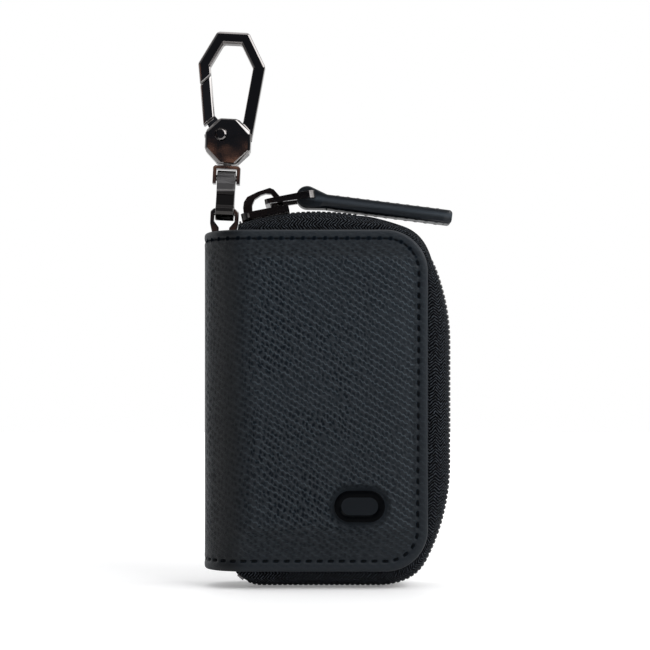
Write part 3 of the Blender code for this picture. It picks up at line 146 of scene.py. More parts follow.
# Zip
TAPE = 0.6 * MM
TAPE_COUNT = 420
TAPE_ROUND_COUNT = 22
TAPE_SEAM_Y = 10.3 * MM
TAPE_EDGE_Y = 3.3 * MM
TAPE_SEWN = 4.0 * MM
TAPE_SHORT = 0.9 * MM
TAPE_BEND = 2 / 2.2
TEETH_START = 15.3 * MM
TEETH_END = 2.5 * MM
TOOTH_PITCH = 3.0 * MM
TOOTH_HALF = 0.6 * MM
TOOTH_SIDES = 20
TOOTH_DEPTH = 1.25 * MM
TOOTH_SQUARE = 0.42
TOOTH_CAPS = ((-1.0, 0.78), (-0.88, 0.93), (-0.60, 1.0), (0.60, 1.0), (0.88, 0.93), (1.0, 0.78))
CORD_SIDES = 10
CORD_STEP = 0.3 * MM

# Lining and pocket
LINING_INSET = 1.5 * MM
LINING_STEP = 1.5 * MM
LINING_OUTSIDE = 2.6 * MM
LINING_INSIDE = 3.4 * MM
POCKET_DIP = 5.0 * MM
POCKET_POINTS = 36
HEM_INSET = 2.2 * MM

# Badge: how far in and how high up each ring of its face is
BADGE_END_POINTS = 20
BADGE_FIELD_ROW = 10
BADGE_LEVELS = [(inset * MM, level) for inset, level in (
    (0.0, 0.0), (0.0, 0.30), (0.0, 0.62), (0.10, 0.86), (0.30, 0.98), (0.60, 1.0), (1.00, 1.0), (1.35, 0.98),
    (1.60, 0.84), (1.78, 0.60), (1.95, 0.50), (2.4, 0.46), (3.2, 0.46), (4.0, 0.47),
)]

# Finishes by slot, and of the nodes that have their own
SLOT_FINISH = {
    "leather": "smooth",
    "lining": "lining",
    "board": "board",
    "zip_tape": "tape",
    "zip_teeth": "teeth",
    "gunmetal": "gunmetal",
    "gloss_plate": "gloss",
    "nickel_steel": "nickel",
}
NODE_FINISH = {
    "front_top_stop": "stop",
    "back_top_stop": "stop",
    "bottom_stop": "stop",
    "strap_link": "strap",
    "slider_body": "slider",
    "pull_link": "slider",
}

# Studio: each light's place, size and power
FLOOR_REACH = 3.0
LIT_PLACE = (0.0, 0.0, 0.06)
LIGHTS = (
    ("Key", (0.663, -0.602, 0.65), (0.70, 0.8), 6.9),
    ("Front", (0.10, -0.80, 1.15), (0.9, 0.5), 1.9),
    ("Side", (1.05, 0.0, 0.78), (0.50, 0.9), 4.6),
    ("Top", (0.0, 0.15, 0.95), (0.9, 0.6), 2.6),
    ("Rim", (-0.85, 0.30, 0.30), (0.3, 0.7), 0.9),
)


def smoothstep(low, high, value):
    t = np.clip((value - low) / (high - low), 0.0, 1.0)
    return t * t * (3 - 2 * t)


def bell(value, width, power=2):
    """1 at zero, falling off about the width, more steeply with a higher power."""
    return np.exp(-((value / width) ** power))


def run(start, end, count):
    """Points in even steps from start towards end, without end itself."""
    return np.linspace(start, end, count, endpoint=False)


def arc(centre, radius, begin, finish, count, closed=False):
    """Points round a centre between two angles, with the last one if closed."""
    turns = np.linspace(begin, finish, count, endpoint=closed)
    return np.array(centre) + radius * np.stack([np.cos(turns), np.sin(turns)], 1)


def path_lengths(points):
    steps = np.linalg.norm(np.diff(points, axis=0), axis=1)
    return np.concatenate([[0.0], np.cumsum(steps)])


def grid_faces(rows, columns, loop=False):
    """Quads of a grid whose points run row by row."""
    faces = []
    for a in range(0, (rows - 1) * columns, columns):
        for j in range(columns if loop else columns - 1):
            k = (j + 1) % columns
            faces.append((a + j, a + k, a + columns + k, a + columns + j))
    return faces


def shifted(faces, by, flip=False):
    """The same faces, further along the list of points."""
    return [tuple(v + by for v in face)[:: -1 if flip else 1] for face in faces]


def tube_faces(rings, sides, start=0):
    """Faces of a closed tube whose rings of points begin at start."""
    last = start + (rings - 1) * sides
    caps = [tuple(range(start, start + sides))[::-1], tuple(range(last, last + sides))]
    return shifted(grid_faces(rings, sides, True), start) + caps


def sheet_faces(faces, border, total):
    """Faces of a sheet with two sides: the second side's points follow the first's, total further on."""
    walls = [(a, b, b + total, a + total) for a, b in zip(border, border[1:] + border[:1])]
    return faces + shifted(faces, total, True) + walls


def add_object(name, data):
    thing = bpy.data.objects.new(name, data)
    bpy.context.scene.collection.objects.link(thing)
    return thing


def add_mesh(name, points, faces, material, sharp=40):
    """A new piece, smooth but for edges of more than the given degrees; None leaves it flat."""
    mesh = bpy.data.meshes.new(name)
    mesh.from_pydata([tuple(p) for p in points], [], faces)
    mesh.validate()
    mesh.materials.append(material)
    if sharp:
        work = bmesh.new()
        work.from_mesh(mesh)
        bmesh.ops.recalc_face_normals(work, faces=work.faces)
        work.to_mesh(mesh)
        work.free()
        mesh.shade_smooth()
        mesh.set_sharp_from_angle(angle=math.radians(sharp))
    return add_object(name, mesh)


def store(thing, name, values):
    """Keep a vector for each point, for the materials to read."""
    field = thing.data.attributes.new(name, "FLOAT_VECTOR", "POINT")
    field.data.foreach_set("vector", np.asarray(values, np.float32).ravel())


# Materials


class Value:
    """A node's output that takes part in sums."""

    def __init__(self, graph, socket):
        self.graph = graph
        self.socket = socket

    def __add__(self, other):
        return self.graph.math("ADD", self, other)

    def __sub__(self, other):
        return self.graph.math("SUBTRACT", self, other)

    def __rsub__(self, other):
        return self.graph.math("SUBTRACT", other, self)

    def __mul__(self, other):
        return self.graph.math("MULTIPLY", self, other)

    def __truediv__(self, other):
        return self.graph.math("DIVIDE", self, other)

    def __abs__(self):
        return self.graph.math("ABSOLUTE", self)

    def sine(self):
        return self.graph.math("SINE", self)

    def cosine(self):
        return self.graph.math("COSINE", self)

    def ramp(self, low, high, first=0.0, last=1.0):
        """A smooth step from first to last as the value goes from low to high."""
        inputs = {"Value": self, "From Min": low, "From Max": high, "To Min": first, "To Max": last}
        return self.graph.node("MapRange", inputs, "Result", interpolation_type="SMOOTHSTEP")


class Graph:
    """A short way to write a node tree."""

    def __init__(self, tree):
        self.tree = tree

    def put(self, socket, value):
        if isinstance(value, Value):
            self.tree.links.new(value.socket, socket)
        elif socket.type == "RGBA":
            socket.default_value = (*value, 1.0)
        else:
            socket.default_value = value

    def node(self, kind, inputs=(), output=0, **settings):
        """Make a node, fill its inputs by place or by name, and give one of its outputs."""
        made = self.tree.nodes.new("ShaderNode" + kind)
        for key, value in settings.items():
            setattr(made, key, value)
        for key, value in inputs.items() if isinstance(inputs, dict) else enumerate(inputs):
            self.put(made.inputs[key], value)
        return Value(self, made.outputs[output])

    def math(self, operation, *values, clamp=False):
        return self.node("Math", values, operation=operation, use_clamp=clamp)

    def vector(self, operation, *values, output="Vector"):
        return self.node("VectorMath", values, output, operation=operation)

    def split(self, vector):
        """The three parts of a vector."""
        first = self.node("SeparateXYZ", (vector,))
        return [Value(self, socket) for socket in first.socket.node.outputs]

    def stored(self, name):
        return self.node("Attribute", output="Vector", attribute_name=name)

    def place(self):
        return self.node("TexCoord", output="Object")

    def noise(self, where, scale, detail=3.0, roughness=0.5):
        inputs = {"Vector": where, "Scale": scale, "Detail": detail, "Roughness": roughness}
        return self.node("TexNoise", inputs, "Fac")

    def cells(self, where, scale, randomness, dimensions="3D"):
        inputs = {"Vector": where, "Scale": scale, "Randomness": randomness}
        return self.node("TexVoronoi", inputs, "Distance", voronoi_dimensions=dimensions)

    def mix(self, factor, a, b):
        return self.node("Mix", {"Factor": factor, "A": a, "B": b}, "Result", data_type="RGBA")


class Material(Graph):
    def __init__(self, name):
        self.material = bpy.data.materials.new(name)
        self.material.use_nodes = True
        super().__init__(self.material.node_tree)
        self.shader = self.tree.nodes["Principled BSDF"]

    def bump(self, height, strength, distance):
        inputs = {"Height": height, "Strength": strength, "Distance": distance}
        self.put(self.shader.inputs["Normal"], self.node("Bump", inputs, "Normal"))

    def finish(self, colour, roughness, more=None):
        for name, value in {"Base Color": colour, "Roughness": roughness, **(more or {})}.items():
            self.put(self.shader.inputs[name], value)
        return self.material


def leather_material():
    """Charcoal leather embossed with slanting ridges and pits, darker at the bend and towards the foot.

    "flat" holds the place on the hide and how deep the grain is; "seam" the shadow of the stitches
    and a painted shade band beside the spine. The darkening at the bend and towards the foot is
    painted shade as well.
    """
    made = Material("Embossed leather")
    flat = made.stored("flat")
    x, z, embossed = made.split(flat)
    shadow, spine_band_shade, _ = made.split(made.stored("seam"))
    cos, sin = math.cos(math.radians(GRAIN_SLOPE)), math.sin(math.radians(GRAIN_SLOPE))
    drift = (made.noise(flat, 150.0, 2.0) - 0.5) * (1.5 * MM)
    rows = (made.vector("DOT_PRODUCT", flat, (sin, cos, 0.0), output="Value") + drift) / GRAIN_ROW
    places = (made.vector("DOT_PRODUCT", flat, (cos, -sin, 0.0), output="Value") + drift) / GRAIN_STEP
    columns = places + rows * 0.5
    rough = made.noise(flat, 1250.0, 2.0, 0.6)
    fine = made.noise(flat, 2600.0, 3.0, 0.6)
    stretch = abs(x).ramp(44.0 * MM, 68.0 * MM)
    patchy = made.noise(flat, 60.0, 2.0).ramp(0.35, 0.65, 0.55, 1.0)
    spots = made.cells(made.node("CombineXYZ", (columns, rows)), 1.0, 0.66, "2D") + (rough - 0.5) * 0.45
    pits = spots.ramp(0.10, 0.56, 1.0, 0.0) * (patchy * (1.0 - stretch * 0.55))
    body = 1.0 - pits
    crests = rows - 0.83 + (columns * math.tau).cosine() * 0.09
    broken = made.noise(flat, 380.0, 2.0).ramp(0.30, 0.54, 0.18, 1.0)
    ridge = (crests * math.tau).cosine().ramp(0.62, 1.0) * broken
    grain = (body * 0.55 + ridge * 0.45 + rough * 0.45) * embossed
    made.bump(grain + fine * 0.10, 1.0, 0.24 * MM)
    plain = made.mix(made.noise(flat, 38.0, 3.0), (0.0070, 0.0112, 0.0162), (0.0100, 0.0152, 0.0212))
    worked = made.mix(body, (0.0036, 0.0061, 0.0096), plain)
    worked = made.mix(rough.ramp(0.50, 0.72), worked, (0.0180, 0.0250, 0.0320))
    worked = made.mix(ridge * (stretch * 0.20 + 0.78), worked, (0.0360, 0.0505, 0.0635))
    hide = made.mix(embossed, plain, worked)
    # Painted shade: a darker band beside the spine, where the hide turns away from the light.
    hide = made.mix(spine_band_shade * 0.60, hide, (0.0026, 0.0044, 0.0066))
    # Painted shade: darker in a band round the bend of the spine.
    hide = made.mix(abs(abs(x) - BEND_SHADE_MIDDLE).ramp(2.0 * MM, 8.0 * MM, 0.42, 0.0), hide, BLACK)
    # Painted shade: darker towards the foot.
    hide = made.mix(z.ramp(30.0 * MM, 80.0 * MM, 0.16, 0.0), hide, BLACK)
    dark = shadow * 0.85
    gloss = made.math("SUBTRACT", 0.27, dark + pits * embossed * 0.22, clamp=True)
    return made.finish(made.mix(dark, hide, (0.0010, 0.0014, 0.0020)), fine * 0.16 + 0.38, {SPECULAR: gloss})


def smooth_leather_material(name, dark, light, roughness, gloss=0.55, highlight_band=None):
    """Plain leather with a fine grain. A painted highlight band can run along it: its height, half width and
    colour.
    """
    made = Material(name)
    where = made.place()
    fine = made.noise(where, 1900.0, 4.0, 0.6)
    pores = made.cells(where, 1500.0, 1.0).ramp(0.05, 0.35)
    made.bump(fine * 0.5 + pores * 0.4, 0.14, 0.05 * MM)
    hide = made.mix(made.noise(where, 140.0, 2.0), dark, light)
    # Painted highlight: a lighter colour in a band at the given height.
    if highlight_band:
        height, half, colour = highlight_band
        rise = made.split(made.stored("flat"))[1]
        hide = made.mix(abs(rise - height).ramp(0.0, half, 1.0, 0.0), hide, colour)
    return made.finish(hide, fine * 0.14 + roughness, {SPECULAR: gloss})


def woven_tape_material():
    """Black herringbone tape; x and y of "flat" run along and across it."""
    made = Material("Woven zip tape")
    flat = made.stored("flat")
    along, across, _ = made.split(flat)
    zigzag = made.math("PINGPONG", across, 1.7 * MM)
    loose = made.noise(flat, 520.0, 2.0) * (1.15 * MM)
    rib = ((along + loose + zigzag * 0.85) * (math.tau / (0.88 * MM))).sine().ramp(-0.5, 0.9)
    thread = (across * (math.tau / (0.42 * MM))).sine()
    fuzz = made.noise(flat, 5200.0, 3.0, 0.7)
    made.bump(rib * 0.8 + thread * 0.12 + fuzz * 0.35, 1.0, 0.22 * MM)
    speck = made.noise(flat, 1300.0, 2.0, 0.7).ramp(0.42, 0.60)
    base = made.mix(rib * (speck * 0.86 + 0.14), (0.0007, 0.0010, 0.0015), (0.0440, 0.0520, 0.0640))
    base = made.mix(fuzz * 0.25, base, (0.0025, 0.0030, 0.0040))
    return made.finish(base, fuzz * 0.2 + 0.66, {SPECULAR: rib * 0.20})


def lining_material():
    """Fine slanting weave."""
    made = Material("Woven lining")
    flat = made.stored("flat")
    along, across, _ = made.split(flat)
    pitch = math.tau / (0.80 * MM)
    weft = (across * (pitch * 2)).sine()
    weave = ((along + across * 0.60) * pitch).sine() + weft * 0.35
    fuzz = made.noise(flat, 3000.0, 3.0, 0.6)
    made.bump(weave + fuzz, 0.6, 0.09 * MM)
    lit = weave.ramp(-1.2, 1.2) * made.noise(flat, 90.0, 3.0).ramp(0.2, 0.8, 0.75, 1.0)
    base = made.mix(lit, (0.006, 0.007, 0.009), (0.024, 0.026, 0.031))
    return made.finish(base, fuzz * 0.2 + 0.65, {"Sheen Weight": 0.15})


def speckled_material(name, scale, detail, bump, colours, rough_at, more=None, stretch=WHITE):
    """One noise for the bump, the colour and the roughness."""
    made = Material(name)
    speck = made.noise(made.vector("MULTIPLY", made.place(), stretch), scale, detail)
    made.bump(speck, *bump)
    return made.finish(made.mix(speck, *colours), rough_at(speck), more)


def gunmetal_material(name, roughness, shade=1.0, crease=None, rubbed_and_highlight=(0.34, 0.33, 0.325)):
    """Dark plated metal: smudged gloss with edges worn light, and if a crease is given, matt with painted
    lighter grey above it and a painted highlight along it.
    """
    made = Material(name)
    where = made.place()
    smudge = made.noise(where, 230.0, 4.0, 0.6)
    made.bump(made.noise(where, 2600.0, 2.0), 0.02, 0.03 * MM)
    edge = made.node("NewGeometry", output="Pointiness").ramp(0.52, 0.60)
    dark = tuple(shade * value for value in (0.160, 0.150, 0.147))
    light = tuple(shade * value for value in (0.215, 0.202, 0.197))
    plated = made.mix(smudge, dark, light)
    rough = smudge.ramp(0.3, 0.8, roughness, roughness + 0.04)
    if crease:
        # Painted light: lighter grey above the bend, and a painted highlight along the bend.
        rise = made.split(where)[2]
        above = rise.ramp(crease - 0.10 * MM, crease + 0.10 * MM)
        plated = made.mix(above, plated, (0.125, 0.122, 0.124))
        rough = rough + above * 0.28
        edge = made.math("MAXIMUM", edge, abs(rise - crease).ramp(0.16 * MM, 0.40 * MM, 1.0, 0.0))
    return made.finish(made.mix(edge, plated, rubbed_and_highlight), rough, {"Metallic": 1.0})


def floor_material():
    """White floor: plain for light, lifted to white for the camera outside the shadow."""
    made = Material("White floor")
    away = made.vector("LENGTH", made.place(), output="Value")
    lift = made.node("LightPath", output="Is Camera Ray") * away.ramp(0.10, 0.45, 0.22, 1.0)
    return made.finish((0.93, 0.93, 0.93), 0.5, {"Emission Color": WHITE, "Emission Strength": lift})


def all_materials():
    return {
        "leather": leather_material(),
        "smooth": smooth_leather_material(
            "Smooth leather", (0.0090, 0.0125, 0.0165), (0.0135, 0.0180, 0.0230), 0.26
        ),
        "pull": smooth_leather_material(
            "Pull leather", (0.0042, 0.0062, 0.0088), (0.0075, 0.0105, 0.0140), 0.24, 0.32,
            # Painted highlight along the upper part of the pull's side.
            (-0.85 * MM, 1.15 * MM, (0.0340, 0.0430, 0.0530)),
        ),
        "field": smooth_leather_material(
            "Badge field", (0.0046, 0.0064, 0.0088), (0.0070, 0.0094, 0.0122), 0.42, 0.12
        ),
        "tape": woven_tape_material(),
        "lining": lining_material(),
        "thread": speckled_material(
            "Black thread", 4200.0, 2.0, (0.5, 0.06 * MM),
            ((0.0008, 0.0011, 0.0016), (0.0034, 0.0042, 0.0055)),
            lambda twist: twist * 0.25 + 0.50, {SPECULAR: 0.07},
        ),
        "teeth": speckled_material(
            "Moulded teeth", 1500.0, 3.0, (0.2, 0.04 * MM), ((0.004, 0.004, 0.005), (0.014, 0.014, 0.016)),
            lambda fine: fine * 0.2 + 0.26,
        ),
        "board": speckled_material(
            "Stiffening board", 900.0, 4.0, (0.2, 0.05 * MM), ((0.17, 0.14, 0.10), (0.23, 0.20, 0.15)),
            lambda pulp: 0.9,
        ),
        "gloss": speckled_material(
            "Gloss plate", 700.0, 2.0, (0.08, 0.05 * MM),
            ((0.0006, 0.0008, 0.0012), (0.0018, 0.0023, 0.0030)),
            lambda peel: peel.ramp(0.3, 0.7, 0.16, 0.24), {SPECULAR: 0.03},
        ),
        "nickel": speckled_material(
            "Nickel plated steel", 900.0, 3.0, (0.12, 0.03 * MM), ((0.50, 0.49, 0.47), (0.62, 0.61, 0.59)),
            lambda brushed: brushed.ramp(0.3, 0.7, 0.20, 0.32), {"Metallic": 1.0}, (1.0, 1.0, 9.0),
        ),
        "gunmetal": gunmetal_material("Gunmetal", 0.015),
        # The strap gets a painted lighter top and a painted highlight along its bend.
        "strap": gunmetal_material("Strap gunmetal", 0.05, 0.28, strap_crease()),
        "slider": gunmetal_material("Slider gunmetal", 0.10, 0.42, rubbed_and_highlight=(0.115, 0.110, 0.108)),
        "stop": gunmetal_material("Dull gunmetal", 0.30, 0.22),
    }


def strap_crease():
    """Height at which the strap link's face bends."""
    foot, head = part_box("strap_link")
    return foot.z + (head.z - foot.z) * STRAP_CREASE_SHARE


# Leather skin


class Case:
    """Places and sizes of the case, read from the frame."""

    def __init__(self):
        low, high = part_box("spine_leather")
        front_low, front_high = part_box("front_cover")
        self.left = low.x
        self.half_depth = -front_low.y
        self.foot = low.z
        self.top = high.z
        self.right = front_high.x
        self.arc = self.half_depth * QUARTER
        self.length = self.arc + (self.right - self.left - self.half_depth)

    def wrap(self, points, out, side):
        """World places of a flat sheet bent round the spine; its x starts at the spine's middle."""
        along, height = points[:, 0], points[:, 1]
        radius = self.half_depth + out
        angle = np.clip(along / self.half_depth, 0.0, QUARTER)
        x = self.left + self.half_depth - radius * np.cos(angle) + np.maximum(along - self.arc, 0.0)
        return np.stack([x, side * radius * np.sin(angle), height], axis=1)

    def border(self, inset):
        """A sheet's border at an inset, from the spine's middle round the foot, fore edge and top."""
        radius = max(COVER_CORNER - inset, 0.3 * MM)
        fore = self.length - COVER_CORNER
        low, high = self.foot + COVER_CORNER, self.top - COVER_CORNER
        right, foot, top = self.length - inset, self.foot + inset, self.top - inset
        return np.concatenate([
            run((0.0, foot), (fore, foot), FOOT_STEPS),
            arc((fore, low), radius, -QUARTER, 0.0, CORNER_STEPS),
            run((right, low), (right, high), FORE_STEPS),
            arc((fore, high), radius, 0.0, QUARTER, CORNER_STEPS),
            np.linspace((fore, top), (0.0, top), FOOT_STEPS + 1),
        ])

    def border_distance(self, points):
        """Distance of flat points from the sheet's border."""
        dx = self.length - points[:, 0]
        dz = np.minimum(points[:, 1] - self.foot, self.top - points[:, 1])
        rounded = COVER_CORNER - np.hypot(COVER_CORNER - dx, COVER_CORNER - dz)
        return np.where((dx < COVER_CORNER) & (dz < COVER_CORNER), rounded, np.minimum(dx, dz))

    def share_up(self, height):
        return (height - self.foot) / (self.top - self.foot)

    def stitch_inset(self, height):
        return STITCH_INSET_FOOT + (STITCH_INSET_TOP - STITCH_INSET_FOOT) * self.share_up(height)

    def stitch_line(self):
        low, high = self.border(STITCH_INSET_FOOT), self.border(STITCH_INSET_TOP)
        return low + (high - low) * self.share_up(low[:, 1])[:, None]

    def fold_ends(self, side):
        """The places between which a skin bends from the spine to a cover."""
        reach = BEND_START_SHARE * self.half_depth
        start = (self.left + reach, side * reach, self.foot)
        end = (self.left + self.half_depth, side * self.half_depth, self.foot)
        return start, end


class Skin:
    """One half of the leather, laid flat from the spine's middle; badge is the badge's box there."""

    def __init__(self, case, badge):
        self.case = case
        self.badge = badge
        self.line = case.stitch_line()
        lengths = path_lengths(self.line)
        self.pitch = lengths[-1] / round(lengths[-1] / STITCH_PITCH)
        edge = EDGE_ROUND * (1 - np.cos(np.linspace(0, QUARTER, 7)))
        insets = np.concatenate([edge[:-1], np.arange(EDGE_ROUND, BORDER_WIDTH, RING_STEP)])
        rings = [case.border(inset) for inset in insets]
        count = len(rings[0])
        banded = count * len(rings)
        cut, spots = self.inner_points(insets[-1])
        loop = np.concatenate([rings[-1], cut])
        ends = [(i, (i + 1) % len(loop)) for i in range(len(loop))]
        source = [Vector(p) for p in np.concatenate([loop, spots])]
        found, _, fill, olds, *_ = delaunay_2d_cdt(source, ends, [], 1, 1e-7)
        kept = [old[-1] if old else len(loop) for old in olds]
        extra, index, spine = [], [], []
        for old, spot in zip(kept, found):
            if old < count:
                index.append(banded - count + old)
                continue
            if old < len(loop):
                spine.append((spot.y, banded + len(extra)))
            index.append(banded + len(extra))
            extra.append((spot.x, spot.y))
        self.points = np.concatenate([*rings, extra])
        self.on_border = np.arange(len(self.points)) < banded
        self.inset = np.concatenate([np.repeat(insets, count), case.border_distance(np.array(extra))])
        self.walked = np.concatenate([np.tile(lengths, len(insets)), np.zeros(len(extra))])
        self.faces = grid_faces(len(rings), count) + [tuple(index[v] for v in face) for face in fill]
        up = [k * count for k in range(1, len(rings))] + [v for _, v in sorted(spine)]
        self.edge = list(range(count)) + [k * count + count - 1 for k in range(1, len(rings))] + up[::-1]
        phase = (self.walked / self.pitch + 0.5) % 1.0 - 0.5
        self.phase = phase
        self.beside = np.abs(phase) * self.pitch
        self.off = self.inset - case.stitch_inset(self.points[:, 1])
        self.clear = self.badge_distance(self.points) if badge else None

    def inner_points(self, last):
        """Points inside the rings: down the spine's middle, and a grid that is finer at the badge."""
        case = self.case
        cut = np.arange(case.top - last - INNER_STEP, case.foot + last + INNER_STEP * 0.5, -INNER_STEP)
        across = np.arange(INNER_STEP, case.length - last - INNER_STEP * 0.4, INNER_STEP)
        up = np.arange(case.foot + last + INNER_STEP * 0.6, case.top - last - INNER_STEP * 0.4, INNER_STEP)
        spots = np.array([(x, z) for x in across for z in up])
        past_x = np.maximum(spots[:, 0] - (case.length - COVER_CORNER), 0.0)
        past_z = np.maximum(case.foot + COVER_CORNER - spots[:, 1], spots[:, 1] - (case.top - COVER_CORNER))
        spots = spots[np.hypot(past_x, np.maximum(past_z, 0.0)) < COVER_CORNER - last - INNER_STEP * 0.5]
        if self.badge:
            (left, foot), (right, top) = self.badge
            fine = np.array([
                (x, z)
                for x in np.arange(left - BADGE_NEAR, right + BADGE_NEAR, BADGE_STEP)
                for z in np.arange(foot - BADGE_NEAR, top + BADGE_NEAR, BADGE_STEP)
            ])
            spots = spots[self.badge_distance(spots) > BADGE_NEAR]
            spots = np.concatenate([spots, fine[self.badge_distance(fine) < BADGE_NEAR - 0.3 * MM]])
        return np.stack([np.zeros(len(cut)), cut], 1), spots

    def badge_distance(self, points):
        """Distance of flat points from the badge's pill outline, negative under the badge."""
        (left, foot), (right, top) = self.badge
        radius = (top - foot) / 2
        along = np.clip(points[:, 0], left + radius, right - radius)
        return np.hypot(points[:, 0] - along, points[:, 1] - (foot + top) / 2) - radius

    def rounding(self):
        """Height of the rounded edge, from minus the rounding at the border to zero."""
        to_edge = 1 - np.minimum(self.inset / EDGE_ROUND, 1.0)
        return EDGE_ROUND * (np.sqrt(np.clip(1 - to_edge**2, 0, 1)) - 1)

    def relief(self):
        """Height over the plain sheet: rounded edge, sunk stitches, soft padding and the badge's bed."""
        x, z = self.points.T
        crown = CROWN_RISE * bell(self.inset - 1.4 * MM, 0.8 * MM)
        below_top = z < self.case.top - TOP_BAND
        shallow = 1 - 0.65 * smoothstep(0.34, 0.46, np.abs(self.phase)) * below_top
        channel = CHANNEL_DEPTH * shallow * bell(self.off, CHANNEL_HALF)
        dent = DENT_DEPTH * bell(self.beside, STITCH_LENGTH * 0.52, 6) * bell(self.off, 0.42 * MM)
        pucker = PUCKER * np.cos(self.phase * math.tau) * bell(self.off - 0.9 * MM, 0.7 * MM)
        uneven = np.sin(x * 190 + 1.3) * np.sin(z * 130 + 0.4) + 0.6 * np.sin(x * 70 - z * 95)
        pad = PAD_RISE * smoothstep(PAD_START, PAD_FULL, self.inset) * (1 + 0.14 * uneven)
        height = self.rounding() + crown - channel - np.where(self.on_border, dent + pucker, 0.0)
        height += pad * smoothstep(0.0, self.case.arc, x)
        if self.badge:
            sunk = 1 - smoothstep(0.1 * MM, 1.7 * MM, self.clear)
            lip = 0.07 * MM * bell(self.clear - 2.0 * MM, 0.7 * MM)
            height = height * (1 - sunk) - BADGE_BED * sunk + lip
        return height

    def grain(self):
        """How deep the embossing is: none at the badge, little at the seam, less at foot, top and spine."""
        x, z = self.points.T
        at_edge = 0.30 * smoothstep(0.3 * MM, 1.4 * MM, self.inset)
        mask = np.maximum(smoothstep(-0.2 * MM, 1.2 * MM, self.off), at_edge)
        mask *= 1 - 0.7 * bell(self.off, 0.5 * MM)
        mask *= 0.45 + 0.55 * smoothstep(2.5 * MM, 13.0 * MM, z - self.case.foot)
        mask *= 0.60 + 0.40 * smoothstep(2.5 * MM, 8.0 * MM, self.case.top - z)
        mask *= 1 - 0.50 * bell(x - (self.case.arc - SHOULDER_BACK), 3.6 * MM)
        if self.badge:
            mask *= smoothstep(0.3 * MM, 1.6 * MM, self.clear)
        return mask

    def shadow(self):
        """Darkness of the seam: holes and a groove along the top, short dashes elsewhere."""
        top = self.case.top
        high = smoothstep(top - 9.0 * MM, top - 6.0 * MM, self.points[:, 1])
        hole = bell(self.beside - self.pitch / 2, 0.46 * MM, 4) * bell(self.off, 0.46 * MM, 4)
        dash = bell(self.beside, STITCH_LENGTH * 0.42, 6) * bell(self.off, 0.27 * MM, 4)
        groove = 0.35 * bell(self.off, 0.30 * MM)
        return np.where(self.on_border, high * np.maximum(groove, hole) + (1 - high) * dash, 0.0)

    def piece(self, name, side, material):
        x, z = self.points.T
        top = self.case.wrap(self.points, self.relief(), side)
        under = self.case.wrap(self.points, -LEATHER_THICKNESS - self.rounding(), side)
        faces = sheet_faces(self.faces, self.edge, len(self.points))
        thing = add_mesh(name, np.concatenate([top, under]), faces, material, 50)
        none = np.zeros(len(x))
        # Painted shade band beside the spine, read by the leather's colour.
        spine_band_shade = bell(x - (self.case.arc - SHOULDER_BACK), 4.2 * MM)
        hide = [np.stack([-side * x, z, mask], 1) for mask in (self.grain(), none)]
        store(thing, "flat", np.concatenate(hide))
        marks = np.stack([self.shadow(), spine_band_shade, none], 1)
        store(thing, "seam", np.concatenate([marks, np.zeros(marks.shape)]))
        return thing


def thread_run(path, up, places, length, width, dip, twist=0.0, size_at=None):
    """Points and faces of stitches along a path in space; each one dips at its ends.

    places holds each stitch's middle along the path and its shift aside; up points out of the hide.
    """
    lengths = path_lengths(path)
    points, faces = [], []

    def at(distance):
        return np.array([np.interp(distance, lengths, path[:, k]) for k in range(3)])

    for place, shift in places:
        faces += tube_faces(THREAD_RINGS, THREAD_SIDES, len(points))
        for share in np.linspace(-1.0, 1.0, THREAD_RINGS):
            distance = min(max(place + share * length / 2, 0.0), lengths[-1])
            spot = at(distance)
            way = at(distance + 0.2 * MM) - at(distance - 0.2 * MM)
            aside = np.cross(up, way / np.linalg.norm(way))
            size = width / 2 * (size_at(spot) if size_at else 1.0)
            body = size * math.sqrt(max(1 - abs(share) ** 3.2, 0.02))
            lift = -dip * abs(share) ** 2.4
            off = shift + twist * math.sin(share * 9.0)
            for turn in np.arange(THREAD_SIDES) * math.tau / THREAD_SIDES:
                out = lift + body * 0.85 * math.sin(turn)
                points.append(spot + aside * (off + body * math.cos(turn)) + np.multiply(up, out))
    return points, faces


def even_thread(path, up, pitch, length, width):
    """Even stitches along a path, centred on it."""
    whole = path_lengths(path)[-1]
    count = max(int(whole / pitch), 1)
    first = (whole - (count - 1) * pitch) / 2
    places = [(first + i * pitch, 0.0) for i in range(count)]
    return thread_run(path, up, places, length, width, 0.55 * width)


def thread_piece(name, runs, material):
    points, faces = [], []
    for run_points, run_faces in runs:
        faces += shifted(run_faces, len(points))
        points += run_points
    return add_mesh(name, points, faces, material)


def cover_stitches(skin, name, side, material):
    """The thread in its dents, with a doubled stretch where sewing starts and ends."""
    case, pitch = skin.case, skin.pitch
    whole = path_lengths(skin.line)[-1]
    places = [(i * pitch, 0.0) for i in range(round(whole / pitch) + 1)]
    tack = 2.2 * pitch
    tack_start = case.arc - 3.2 * MM
    for start in (tack_start, whole - tack_start - tack):
        places += [(start + tack * share, 0.28 * MM) for share in TACK_SHARES]
    path = np.pad(skin.line, ((0, 0), (0, 1)), constant_values=-CHANNEL_DEPTH - THREAD_SUNK)
    points, faces = thread_run(
        path, (0.0, 0.0, 1.0), places, STITCH_LENGTH, THREAD, THREAD_DIP, 0.05 * MM,
        lambda spot: 0.6 if spot[1] > case.top - TOP_BAND else 1.0,
    )
    points = np.array(points)
    points[:, 0] = np.maximum(points[:, 0], 0.0)
    return add_mesh(name, case.wrap(points, points[:, 2], side), faces, material)


def make_leather(case, materials):
    low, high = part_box("badge_plate")
    shift = case.arc - case.left - case.half_depth
    badge = ((low.x + shift, low.z), (high.x + shift, high.z))
    for side, half in HALVES:
        sheet = Skin(case, badge if half == "front" else None)
        skin = sheet.piece(f"{half}_leather", side, materials["leather"])
        sewn = cover_stitches(sheet, f"{half}_stitches", side, materials["thread"])
        start, end = case.fold_ends(side)
        for piece in (skin, sewn):
            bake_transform(piece)
            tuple(start)
            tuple(end)
        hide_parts(f"{half}_cover")
        if half == "front":
            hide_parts("spine_leather")


# Solid sheets


